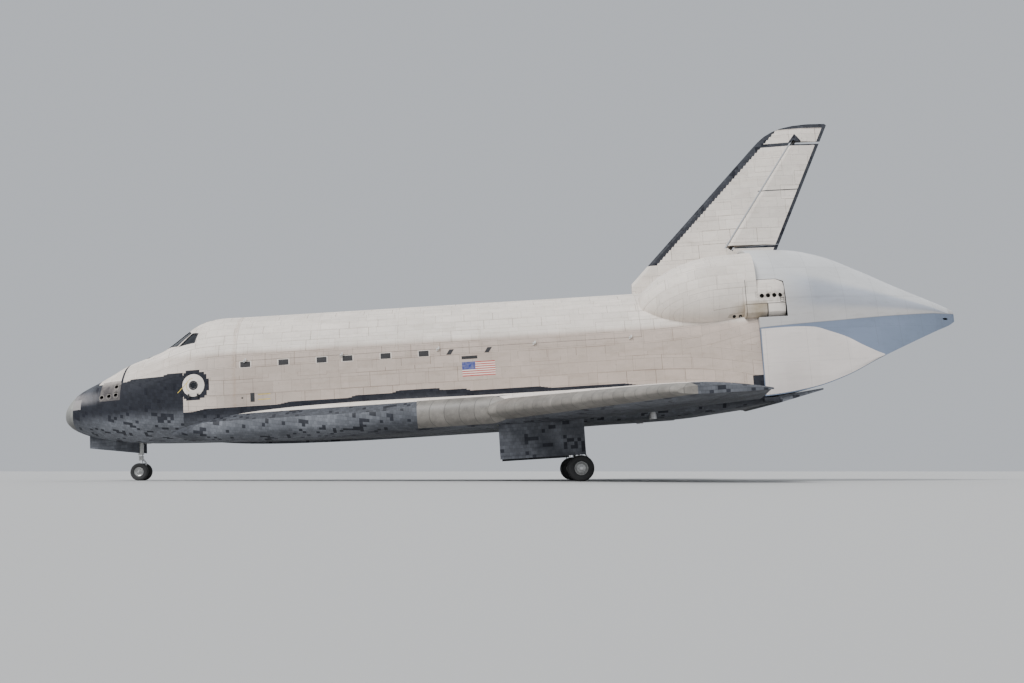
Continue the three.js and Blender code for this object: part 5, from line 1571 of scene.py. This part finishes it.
class ORBITER_OT_tail(bpy.types.Operator):
    """Aft fuselage, thruster pods and the tail cone over the engines"""

    bl_idname = "orbiter.tail"
    bl_label = "Aft body, pods and tail cone"

    def execute(self, context):
        self.body()
        self.pods()
        self.cone()
        return {"FINISHED"}

    def body(self):
        shell = hull(MID_END, 1525, step=8)
        shell = cut(shell, 1, block(AFT_END - SEAM, FAR * 3, -FAR, FAR, 293, FAR))
        hollow = hull(MID_END + 8, 1524.9, 6, 20)
        hollow = meet(hollow, block(0, FAR * 3, -FAR, FAR, 296, FAR))
        shell = cut(shell, 2, hollow)
        sockets = [fitting_socket(AFT_FITTING, side, 250, 285) for side, _ in SIDES]
        shell = cut(shell, 1, *sockets)
        lugs = []  # the brackets and pins of the body flap
        for side, _ in SIDES:
            lugs.append(side_block(1510, 1525.4, 112, 131.5, 283.5, 290.8, side, 0.3))
            lugs.append(side_block(1525, 1537, 128.6, 131.5, 282, 290.8, side, 0.3))
            lugs.append(bar((1533, 122 * side, 286), (1533, 130 * side, 286), 1.6, sides=20))
        piece(
            "aft_body", joined(shell, bundle(1, *lugs)),
            ["thermal_coat", "frame_tile", "cabin_grey"], nodes=["aft_fuselage"],
        )
        coat("main_engine_block", "engine_foil", slot="inner_metal")

    def pods(self):
        front = POD_TABLE[0][0]
        rows = []
        for share in span(0.02, 1, 30):
            x = front + (AFT_END - SEAM - front) * share * share
            p = pod_at(x)
            row = []
            for t in turns(48):
                c, v = math.cos(t), math.sin(t)
                c, v = [math.copysign(abs(f) ** POD_SQUARENESS, f) for f in (c, v)]
                row.append((x, p.y + p.a * c, p.z + p.b * v))
            rows.append(row)
        pod = cut(loft(rows), 1, hull(MID_END - 5, 1525, -SEAM, 16))
        pod = meet(pod, block(1300, AFT_END - SEAM, 0, FAR, 0, FAR))
        sections = []
        y, low, high = POD_HOUSING.y, POD_HOUSING.bottom, POD_HOUSING.top
        for x, shrink in ((POD_HOUSING.front, 0), (1548, 0), (POD_HOUSING.rear, 5)):
            outer = [(128, low), (135.5, 441), (136.5, 462), (134.5, 486), (128, high - shrink)]
            outline = [(y, low), *((oy - shrink, oz) for oy, oz in outer), (y, high - shrink)]
            sections.append([(x, *point) for point in outline])
        housing = bevel(loft(sections), 1.2, 2, sharper=25)
        housing = cut(housing, 1, hull(MID_END, 1525, -SEAM, 16))
        aft = [
            bar((x, 128, POD_THRUSTER_Z), (x, 150, POD_THRUSTER_Z), 3.4, 4.8, 28)
            for x in (1520, 1531, 1542, 1553)
        ]
        down = [bar((x, 118, 441), (x, 124, 412), 3, 4.4, 28) for x in (1472, 1483, 1494)]
        pod = combine(pod, housing, "UNION")
        pod = cut(pod, 2, *aft, *down)
        pair("thruster_pod", pod, ["pod_coat", "dark_seal", "nozzle_soot"], nodes=["pod"])

    def cone_section(self, x, inset=0):
        """Half a section of the cone: flat floor, slanted side up to the crease, and dome."""
        c = cone_at(x)
        squash = 2 / c.power
        side = [
            (lerp(c.chine - inset, c.crease_y - inset, t), lerp(c.bottom + inset, c.crease_z, t))
            for t in span(0, 1, 7)
        ]
        dome = [
            (
                max(0.6, (c.crease_y - inset) * math.cos(a) ** squash),
                c.crease_z + (c.top - inset - c.crease_z) * math.sin(a) ** squash,
            )
            for a in quarter(22)[1:]
        ]
        floor = [((c.chine - inset) * t, c.bottom + inset) for t in span(0.1, 0.9, 4)]
        return floor + side + dome

    def cone(self):
        shell = loft([ring(x, self.cone_section(x)) for x in stations(AFT_END, CONE_END, 9)])
        hollow = loft([ring(x, self.cone_section(x, 3)) for x in stations(AFT_END - 2, 1880, 30)])
        shell = cut(shell, 1, hollow)
        gap = 1.2  # round the pods' rear housings
        bottom, top, rear = POD_HOUSING.bottom - gap, POD_HOUSING.top + gap, POD_HOUSING.rear + gap
        outline = [(1490, bottom), (rear, bottom), (rear, top - 5), (1549, top), (1490, top)]
        notches = [
            side_prism(outline, *sorted(((POD_HOUSING.y - gap) * side, 160 * side)))
            for side, _ in SIDES
        ]
        shell = cut(shell, 1, *notches)
        slot_x, slot_z, slot_stretch = 1884, 422, 3.2
        slots = []
        for side, _ in SIDES:
            slot = bar((slot_x, 8 * side, slot_z), (slot_x, 60 * side, slot_z), 2, sides=16)
            centre = Matrix.Translation((-slot_x, 0, 0))
            bmesh.ops.scale(slot, vec=(slot_stretch, 1, 1), space=centre, verts=slot.verts)
            slots.append(slot)
        shell = cut(shell, 1, *slots)
        piece(
            "cone_shell", shell, ["cone_skin", "dark_seal"], slot="tail_cone_skin",
            nodes=["tail_cone"], sharp=24,
        )
        pair("cone_side_panel", self.side_panel(), ["cone_panel"], slot="tail_cone_skin")
        piece("cone_front_web", self.front_web(), ["cone_skin"], slot="tail_cone_skin")

    def front_web(self):
        """The sheet inside the cone's front edge that meets the fuselage, the pods and the fin."""
        web = loft([ring(x, self.cone_section(x, 3 + SEAM)) for x in (AFT_END + CLEAR, AFT_END + 2.5)])
        web = combine(web, hull(AFT_END - 10, 1525, 5))
        low, high = POD_HOUSING.bottom - 2, POD_HOUSING.top + 2
        for side, _ in SIDES:
            web = combine(web, side_block(1490, 1570, POD_HOUSING.y - 2, 160, low, high, side))
        return combine(web, block(1490, 1570, -FAR, FAR, 0, 330))

    def side_panel(self):
        """The raised fairing low on the cone's side; its top edge falls away aft."""
        share = Curve(
            [1513, 1580, 1610, 1640, 1669, 1700, 1737],
            [0.975, 0.965, 0.94, 0.84, 0.7, 0.43, 0.03],
        )

        def place(u, v, rise):
            x = lerp(1513.5, 1736, u)
            c = cone_at(x)
            t = lerp(0.015, share(x), v)
            edge = min(1, 6 * min(v, 1 - v) + 0.35, 20 * min(u, 1 - u) + 0.35)
            y = lerp(c.chine, c.crease_y, t) - 0.2 + rise * edge
            return (x, y, lerp(c.bottom, c.crease_z, t))

        return plate(place, 40, 16, 2.0)


class ORBITER_OT_wings(bpy.types.Operator):
    """Wings, carbon leading edges, elevons and body flap"""

    bl_idname = "orbiter.wings"
    bl_label = "Wings and elevons"

    def execute(self, context):
        places = [84, *span(105, WING.kink, 16), *span(200, 440, 14), 452, 460, 465, 468.3]
        blank = loft([wing_ring(y) for y in places])
        self.coat_by_side(blank)
        blank = cut(blank, 2, hull(480, 1525, -SEAM, 16))
        edge = meet(blank.copy(), self.edge_prism(SEAM))
        pair(
            "carbon_leading_edge", slotted(edge, 0), ["carbon_panels"], slot="carbon_edge",
            nodes=["leading_edge"],
        )
        wing = cut(blank.copy(), 2, self.edge_prism(0))
        ends = (ELEVON.inner - CLEAR, ELEVON.outer + CLEAR)
        wing = combine(wing, hinge_block(*ends, ELEVON.x - 2.2))
        hollow = slotted(self.nose(1, CLEAR + 0.2, *ends), 2)
        wing = combine(wing, meet(hollow, hinge_block(*ends, HINGE_FRONT)))
        wing = cut(wing, 3, block(*MAIN_GEAR.well, 230, MAIN_GEAR.well_top))
        wing = cut(wing, 2, fitting_socket(AFT_FITTING, STARBOARD, 250, 286))
        pair(
            "wing_panel", wing, ["wing_blanket", "belly_tile", "dark_seal", "well_primer"],
            nodes=["wing"],
        )
        for name, y0, y1 in (
            ("inboard", ELEVON.inner, ELEVON.split - CLEAR / 2),
            ("outboard", ELEVON.split + CLEAR / 2, ELEVON.outer),
        ):
            part = meet(blank.copy(), hinge_block(y0, y1, ELEVON.x))
            nose = self.nose(-1, 0.15, y0, y1)
            self.coat_by_side(nose)
            nose = meet(nose, hinge_block(y0, y1, HINGE_FRONT))
            part = combine(part, nose, "UNION")
            pair(
                f"elevon_{name}_skin", part, ["wing_blanket", "belly_tile", "dark_seal"],
                f"elevon_{name}", nodes=[f"elevon_{name}"],
            )
        blank.free()
        coat("body_flap", "belly_tile", slot="black_tile")
        return {"FINISHED"}

    def coat_by_side(self, bm):
        """The first finish on what faces up, the second on the rest."""
        for face in bm.faces:
            upper = face.normal.z > 0.02 and abs(face.normal.y) < 0.9
            face.material_index = 0 if upper else 1

    def edge_prism(self, gap):
        """An upright block over the leading edge, drawn in by a gap."""
        outline = [
            (905 + gap, 154 + gap), (1036 - gap, 175 + gap), (1064 - gap, 192 + gap),
            (1345 - gap, 480), (905 + gap, 480),
        ]
        return plan_prism(outline, 200, 400)

    def nose(self, side, gap, y0, y1):
        """A round bar along the hinge: an elevon's nose, or with side 1 the hollow for it."""
        rows = []
        low, high = y0 - 5, y1 + 5
        for y in (low, *(place for place, _ in SPAN_TABLE if low < place < high), high):
            middle, half = wing_middle(ELEVON.x, y)
            radius = half + side * (abs(middle - hinge_z(y)) + gap)
            rows.append([
                (ELEVON.x + radius * math.cos(a), y, hinge_z(y) + radius * math.sin(a))
                for a in turns(40)
            ])
        return loft(rows)


class ORBITER_OT_fin(bpy.types.Operator):
    """Fin, rudder shaft and speed brake panels"""

    bl_idname = "orbiter.fin"
    bl_label = "Fin and rudder"

    def execute(self, context):
        for node in ("fin", "speed_brake_starboard", "speed_brake_port"):
            coat(node, "fin_coat", slot="white_blanket")
        coat("rudder_shaft", "nozzle_soot", slot="gear_steel")
        return {"FINISHED"}


class ORBITER_OT_wheels(bpy.types.Operator):
    """Grooved tyres and their rims"""

    bl_idname = "orbiter.wheels"
    bl_label = "Wheels"

    def execute(self, context):
        for side, word in SIDES:
            y = side * NOSE_GEAR.spacing
            self.wheel(NOSE_GEAR, y, side, "nose", word, "nose_wheels", 2)
            for place, out in (("outer", 1), ("inner", -1)):
                y = side * (MAIN_GEAR.y + out * MAIN_GEAR.spacing)
                where = f"{place}_{word}"
                self.wheel(MAIN_GEAR, y, side * out, "main", where, f"main_wheels_{word}", 4)
        return {"FINISHED"}

    def wheel(self, gear, y, out, leg, where, body, grooves):
        centre = (gear.x, y, axle_z(gear))
        tyre, rim = self.tyre(gear, centre, grooves), self.rim(gear, centre, out)
        piece(f"tyre_{leg}_{where}", tyre, ["rubber"], body, "tyre", [f"{leg}_tyre_{where}"])
        piece(
            f"rim_{leg}_{where}", rim, ["wheel_metal", "steel"], body, "gear_steel",
            [f"{leg}_rim_{where}"],
        )

    def tyre(self, gear, centre, grooves):
        half = gear.width / 2
        depth = sizes().tyre_groove / INCH
        crown = half * 0.55
        tread = [(gear.tyre, -crown)]
        for i in range(grooves):
            middle = lerp(-crown, crown, (i + 0.5) / grooves)
            tread += [
                (gear.tyre, middle - 0.45), (gear.tyre - depth, middle - 0.3),
                (gear.tyre - depth, middle + 0.3), (gear.tyre, middle + 0.45),
            ]
        tread.append((gear.tyre, crown))
        wall = [
            (gear.tyre * 0.985, half * 0.72), (gear.tyre * 0.95, half * 0.87),
            (gear.tyre * 0.88, half * 0.97), (lerp(gear.rim, gear.tyre, 0.5), half),
            (lerp(gear.rim, gear.tyre, 0.25), half * 0.95),
            (lerp(gear.rim, gear.tyre, 0.08), half * 0.82), (gear.rim, half * 0.72),
        ]
        other = [(r, -along) for r, along in reversed(wall)]
        return turn([*other, *tread, *wall], centre, steps=72)

    def rim(self, gear, centre, out):
        half = gear.width * 0.36 * out
        edge = gear.rim - SEAM
        bore = gear.axle + 0.04
        profile = [
            (bore, -half * 0.5), (edge * 0.3, -half * 0.5), (edge * 0.72, -half * 0.42),
            (edge * 0.8, -half * 0.95), (edge, -half), (edge, half), (edge * 0.94, half * 1.02),
            (edge * 0.9, half * 0.9),
            (edge * 0.84, half * 0.55), (edge * 0.66, half * 0.3), (edge * 0.45, half * 0.34),
            (edge * 0.36, half * 0.6), (bore, half * 0.62),
        ]
        body = turn(profile, centre, steps=48)
        x, y, z = centre
        holes, studs = [], []
        count, through = 9, abs(half) * 1.5
        for a in turns(count):
            px, pz = x + edge * 0.42 * math.cos(a), z + edge * 0.42 * math.sin(a)
            start, end = (px, y + half * 0.25, pz), (px, y + half * 0.62, pz)
            studs.append(bar(start, end, edge * 0.035, sides=6))
            a += math.pi / count
            px, pz = x + edge * 0.6 * math.cos(a), z + edge * 0.6 * math.sin(a)
            holes.append(bar((px, y - through, pz), (px, y + through, pz), edge * 0.1, sides=20))
        body = combine(body, joined(*holes))
        return joined(body, bundle(1, *studs))


class ORBITER_OT_legs(bpy.types.Operator):
    """Landing gear legs, doors and attach fittings"""

    bl_idname = "orbiter.legs"
    bl_label = "Landing gear legs"

    def execute(self, context):
        self.main_leg()
        self.nose_leg()
        self.doors()
        for node in ("forward_attach", "aft_attach_port", "aft_attach_starboard"):
            coat(node, "steel", slot="gear_steel")
        return {"FINISHED"}

    def main_leg(self):
        g, z = MAIN_GEAR, axle_z(MAIN_GEAR)
        x, y = g.x, g.y
        reach = g.spacing + g.width / 2
        # Cylinder with its two collars, drag strut with its bracket and pin, trunnion, axle block.
        white = [
            bar((x, y, 218), (x, y, g.well_top - SEAM), 6.5, sides=40, round_by=0.3),
            turn([(5, -2), (7.6, -2), (7.6, 2), (5, 2)], (x, y, 221), (0, 0, 1)),
            turn([(5, -1.2), (7.4, -1.2), (7.4, 1.2), (5, 1.2)], (x, y, 262), (0, 0, 1)),
            bar((x - 62, y, 302), (x - 2, y, 226), 3, sides=28, round_by=0.3),
            block(x - 70, x - 54, y - 6, y + 6, 298, g.well_top - SEAM, 0.8),
            bar((x - 58, y - 8, 300), (x - 58, y + 8, 300), 2.2, sides=24),
            bar((x - 2, y - 16, 290), (x - 2, y + 16, 290), 3.2, sides=28, round_by=0.3),
            block(x - 3.2, x + 3.2, y - 5, y + 5, z - 4.6, z + 5, 1.2),
        ]
        links = []
        for dy in (-3.2, 3.2):
            links.append(bar((x + 4, y + dy, 222), (x + 13, y + dy * 0.4, 207), 1.5, 1.1, 16))
            links.append(bar((x + 13, y + dy * 0.4, 207), (x + 2, y + dy, 191), 1.1, 1.5, 16))
        links.append(bar((x + 13, y - 2.4, 207), (x + 13, y + 2.4, 207), 1.7, sides=20))
        brakes = [
            turn([(3, -2.6), (9, -2.6), (9, 2.6), (3, 2.6)], (x, y + side * (g.spacing - 7.2), z))
            for side, _ in SIDES
        ]
        polished = [bar((x, y, z), (x, y, 222), 4.6, sides=40)]
        axle = [bar((x, y - reach, z), (x, y + reach, z), g.axle, sides=28, round_by=0.3)]
        lines = []
        for dy in (-2.4, 2.4):
            places = [
                (x - 6.9, y + dy, 292), (x - 7.4, y + dy, 250), (x - 7.6, y + dy, 222),
                (x - 9, y + 2 * dy, 205), (x - 3.5, y + 2.6 * dy, z + 3),
            ]
            lines.append(tube(places, 0.5))
        whole = joined(
            *white, bundle(1, *links), bundle(1, *brakes), bundle(2, *polished),
            bundle(1, *axle), bundle(3, *lines),
        )
        pair(
            "main_leg_strut", whole, ["gear_white", "steel", "chrome", "hose"],
            slot="gear_steel", nodes=["main_leg"],
        )

    def nose_leg(self):
        g, z = NOSE_GEAR, axle_z(NOSE_GEAR)
        x = g.x
        upper = [
            bar((x, 0, 262), (x, 0, g.well_top - SEAM), 4.6, sides=36, round_by=0.3),
            turn([(3.6, -1.3), (5.4, -1.3), (5.4, 1.3), (3.6, 1.3)], (x, 0, 264), (0, 0, 1)),
            bar((x - 62, 0, 328), (x - 2, 0, 272), 2.4, sides=24, round_by=0.3),
            block(x - 70, x - 54, -5, 5, 324, g.well_top - SEAM, 0.8),
            bar((x - 1, -12, 318), (x - 1, 12, 318), 2.4, sides=24, round_by=0.3),
        ]
        lamp_profile = [(0.2, -1.6), (2.6, -1.0), (3, 1.2), (2.7, 1.5), (0.2, 1.5)]
        lamp = turn(lamp_profile, (x - 8.5, 0, 284), (-1, 0, -0.2), 28)
        bracket = block(x - 7.4, x - 4, -1, 1, 282.5, 285.5, 0.2)
        whole = joined(*upper, slotted(joined(lamp, bracket), 1))
        piece("nose_leg_strut", whole, ["gear_white", "steel"], slot="gear_steel", nodes=["nose_leg"])
        lower = [
            slotted(bar((x, 0, z), (x, 0, 269.9), 3, sides=32), 2),
            bar((x, 0, 252), (x, 0, 260.6), 4.4, sides=32, round_by=0.3),
            slotted(bar((x, -16, z), (x, 16, z), g.axle, sides=24, round_by=0.2), 1),
            block(x - 2.4, x + 2.4, -3.4, 3.4, z - 2.8, z + 3.4, 0.8),
        ]
        for dy in (-2, 2):
            elbow = (x + 10, dy * 0.4, 246)
            lower.append(slotted(bar((x + 3, dy, 254), elbow, 1.2, 0.9, 16), 1))
            lower.append(slotted(bar(elbow, (x + 2.4, dy, z + 3), 0.9, 1.2, 16), 1))
        piece(
            "nose_axle_strut", joined(*lower), ["gear_white", "steel", "chrome"],
            "nose_steering", "gear_steel", ["nose_axle"],
        )

    def doors(self):
        for node in ("nose_door_port", "nose_door_starboard", "main_door_port", "main_door_starboard"):
            coat(node, "upright_tile", slot="black_tile")


FLAG = SimpleNamespace(front=984, rear=1043, low=362, high=388)
VENTS = (599, 667, 735, 781, 849, 917)
SLANTED_VENTS = (964, 1032)
VENT_Z = 407.5


class ORBITER_OT_markings(bpy.types.Operator):
    """Vents, flag and painted marks on the sides"""

    bl_idname = "orbiter.markings"
    bl_label = "Vents and marks"

    def execute(self, context):
        self.vents()
        self.marks()
        return {"FINISHED"}

    def vents(self):
        parts = []
        for side, _ in SIDES:
            for x in VENTS:
                pad = side_plate(x - 10.5, x + 10.5, VENT_Z - 6, VENT_Z + 6, -0.1, 0.25, side)
                parts.append(slotted(pad, 1))
                parts.append(side_plate(x - 9, x + 9, VENT_Z - 5, VENT_Z + 5, SUNK, 0.3, side))
                for z in (VENT_Z - 3, VENT_Z, VENT_Z + 3):
                    slat = side_plate(x - 8.4, x + 8.4, z - 0.2, z + 0.2, 0.2, 0.2, side, steps=(2, 1))
                    parts.append(slotted(slat, 2))
            for x in SLANTED_VENTS:
                parts.append(side_plate(x - 4, x + 4, VENT_Z - 4.5, VENT_Z + 4.5, SUNK, 0.3, side, 6))
        finishes = ["mark_black", "sewn_blanket", "vent_slat"]
        piece("vent_doors", joined(*parts), finishes, slot="black_tile")

    def marks(self):
        flag = side_plate(FLAG.front, FLAG.rear, FLAG.low, FLAG.high, SUNK, 0.12, steps=(8, 4))
        piece("striped_flag", flag, ["flag_paint"])
        thick = 0.14
        dark = [
            side_plate(606.5, 614, 340, 356, SUNK, thick),
            round_band(592, 348, 0.05, 1.6, 0, 360, SUNK, thick, steps=(16, 1)),
            side_plate(401, 409, 437, 443, SUNK, thick, slant=5),
            side_plate(984, 1012, 393, 398.5, SUNK, thick),
        ]
        piece("dark_marks", joined(*dark), ["mark_black"], slot="black_tile")
        yellow = [side_plate(620, 642, z, z + 1.4, SUNK, 0.12) for z in (352, 343)]
        yellow.append(side_line((476, 364), (495, 383), 1.1, thick))
        piece("yellow_marks", joined(*yellow), ["mark_yellow"])


class ORBITER_OT_cabin_fittings(bpy.types.Operator):
    """Flight deck, seats and the cabin's rear wall"""

    bl_idname = "orbiter.cabin_fittings"
    bl_label = "Cabin fittings"

    def execute(self, context):
        coat("flight_deck", "cabin_grey", slot="inner_metal")
        coat("cabin_rear_bulkhead", "cabin_grey", slot="inner_metal")
        deck = 405  # height of the upper floor
        rails = block(494, 500, -33, 33, deck + 4 + SEAM, deck + 7, 0.4)
        cushions, straps = [], []
        for y in (-22, 22):
            cushions.append(block(490, 508, y - 9, y + 9, deck + 7.3, deck + 12.5, 1.6))
            cushions.append(block(504.5, 508.8, y - 8.5, y + 8.5, deck + 13, deck + 36, 1.6))
            cushions.append(block(504.8, 508.6, y - 5, y + 5, deck + 36.5, deck + 42.8, 1.4))
            for middle in (y - 4, y + 4):
                straps.append(block(504, 504.6, middle - 0.9, middle + 0.9, deck + 14, deck + 35))
        whole = joined(rails, bundle(1, *cushions), bundle(2, *straps))
        piece(
            "pilot_seats", whole, ["steel", "seat_fabric", "strap_orange"], slot="inner_metal",
            nodes=["crew_seats"],
        )
        return {"FINISHED"}


class ORBITER_OT_stage(bpy.types.Operator):
    """Floor, soft lights and camera"""

    bl_idname = "orbiter.stage"
    bl_label = "Stage, lights and camera"

    def execute(self, context):
        settings = context.scene.orbiter_stage
        bm = bmesh.new()
        bmesh.ops.create_grid(bm, x_segments=2, y_segments=2, size=settings.floor_size / 2)
        mesh = finished_mesh("floor", bm)
        floor = placed("floor", mesh)
        paint = bpy.data.materials.new("floor_paint")
        paint.use_nodes = True
        shader = paint.node_tree.nodes["Principled BSDF"]
        shader.inputs["Base Color"].default_value = settings.floor_colour
        shader.inputs["Roughness"].default_value = 0.8
        mesh.materials.append(paint)
        world = bpy.data.worlds.new("studio")
        world.use_nodes = True
        background = world.node_tree.nodes["Background"]
        background.inputs["Color"].default_value = settings.world_colour
        background.inputs["Strength"].default_value = settings.world_strength
        context.scene.world = world
        target = Vector((0, 0, 2.5))
        key, fill = settings.key_strength, settings.fill_strength
        for name, place, strength, softness in (
            ("key", (-12, -15, 22), key, 24),
            ("fill", (16, -20, 8), fill, 70),
            ("rim", (4, 20, 18), fill * 1.3, 60),
        ):
            light = bpy.data.lights.new(name, "SUN")
            light.energy, light.angle = strength, math.radians(softness)
            self.aimed(name, light, place, target)
        camera = bpy.data.cameras.new("camera")
        camera.lens, camera.sensor_width = settings.lens, 36
        place = (settings.aim[0], -settings.distance, settings.eye_height)
        context.scene.camera = self.aimed("camera", camera, place, settings.aim)
        return {"FINISHED"}

    def aimed(self, name, data, place, target):
        """A light or camera at a place, turned to look at a target."""
        obj = placed(name, data)
        obj.location = place
        obj.rotation_mode = "QUATERNION"
        obj.rotation_quaternion = (Vector(target) - obj.location).to_track_quat("-Z", "Y")
        return obj


def length_property(name, description, default):
    return bpy.props.FloatProperty(name=name, description=description, default=default, unit="LENGTH")


class OrbiterSizes(bpy.types.PropertyGroup):
    black_tile: length_property("Black tile", "Edge of one black tile", metres(6))
    white_tile: length_property("White tile", "Edge of one white tile", metres(8))
    blanket_length: length_property("Blanket length", "Length of one sewn blanket", metres(34))
    blanket_height: length_property("Blanket height", "Height of one sewn blanket", metres(20))
    edge_panel: length_property("Edge panel", "Length of one leading edge panel", metres(21))
    tyre_groove: length_property("Tyre groove", "Depth of a tyre's grooves", metres(0.5))


def colour_property(name, description, default):
    return bpy.props.FloatVectorProperty(
        name=name, description=description, default=(*default, 1), size=4, subtype="COLOR",
        min=0, max=1,
    )


class OrbiterColours(bpy.types.PropertyGroup):
    blanket_white: colour_property("Blanket", "White blankets and tiles", (0.8, 0.735, 0.665))
    # The tile colours' bluish tint is painted sky reflection, over the fresh tiles' black and over the
    # worn tiles' bleached grey.
    tile_black: colour_property("Black tile", "Fresh black tiles", (0.0135, 0.015, 0.022))
    tile_worn_sky_tint: colour_property("Worn tile", "Bleached black tiles", (0.205, 0.216, 0.24))
    carbon: colour_property("Carbon", "Nose cap and leading edges", (0.19, 0.176, 0.157))
    cone_white: colour_property("Tail cone", "Painted skin of the tail cone", (0.6, 0.605, 0.61))
    cone_panel: colour_property("Cone panel", "Raised panels low on the tail cone", (0.68, 0.625, 0.59))
    glass: colour_property("Glass", "Window panes", (0.012, 0.014, 0.018))
    flag_blue: colour_property("Flag blue", "Blue field of the flag", (0.014, 0.035, 0.24))
    flag_red: colour_property("Flag red", "Red stripes of the flag", (0.5, 0.05, 0.045))
    mark_yellow: colour_property("Yellow", "Yellow rescue marks", (0.6, 0.45, 0.08))
    rubber: colour_property("Rubber", "Tyres", (0.028, 0.028, 0.029))


class OrbiterStage(bpy.types.PropertyGroup):
    floor_size: length_property("Floor", "Edge of the floor", 4000)
    floor_colour: colour_property("Floor", "Colour of the floor", (0.46, 0.46, 0.455))
    world_colour: colour_property("Surroundings", "Colour of the room", (0.8, 0.84, 0.9))
    world_strength: bpy.props.FloatProperty(
        name="Room light", description="Strength of the room's light", default=0.7, min=0)
    key_strength: bpy.props.FloatProperty(
        name="Key light", description="Strength of the main light in watts per square metre",
        default=3.5, min=0)
    fill_strength: bpy.props.FloatProperty(
        name="Side lights", description="Strength of the light from the front; the rear one is stronger",
        default=0.42, min=0)
    distance: length_property("Distance", "From the camera to the vehicle's axis", 25)
    eye_height: length_property("Eye height", "Height of the camera over the floor", 0.22)
    aim: bpy.props.FloatVectorProperty(
        name="Aim", description="Point that the camera looks at", default=(0, 0, 3.3), subtype="XYZ")
    lens: bpy.props.FloatProperty(
        name="Lens", description="Focal length of the camera in millimetres", default=37)


BUILD_STEPS = (
    ORBITER_OT_nose, ORBITER_OT_cabin, ORBITER_OT_cabin_fittings, ORBITER_OT_payload_bay,
    ORBITER_OT_tail, ORBITER_OT_wings, ORBITER_OT_fin, ORBITER_OT_wheels, ORBITER_OT_legs,
    ORBITER_OT_markings, ORBITER_OT_stage,
)


class ORBITER_PT_panel(bpy.types.Panel):
    """The build steps and the settings they read"""

    bl_label = "Orbiter"
    bl_idname = "ORBITER_PT_panel"
    bl_space_type = "VIEW_3D"
    bl_region_type = "UI"
    bl_category = "Orbiter"

    def draw(self, context):
        for step in BUILD_STEPS:
            self.layout.operator(step.bl_idname)
        for group in SETTINGS:
            settings = getattr(context.scene, group)
            for name in settings.__annotations__:
                self.layout.prop(settings, name)


SETTINGS = {
    "orbiter_sizes": OrbiterSizes, "orbiter_colours": OrbiterColours, "orbiter_stage": OrbiterStage,
}
CLASSES = (*SETTINGS.values(), *BUILD_STEPS, ORBITER_PT_panel)


def register():
    for cls in CLASSES:
        bpy.utils.register_class(cls)
    for name, cls in SETTINGS.items():
        setattr(bpy.types.Scene, name, bpy.props.PointerProperty(type=cls))


def unregister():
    for name in SETTINGS:
        delattr(bpy.types.Scene, name)
    for cls in reversed(CLASSES):
        bpy.utils.unregister_class(cls)


def main():
    register()
    for step in BUILD_STEPS:
        group, name = step.bl_idname.split(".")
        getattr(getattr(bpy.ops, group), name)()


if __name__ == "__main__":
    main()
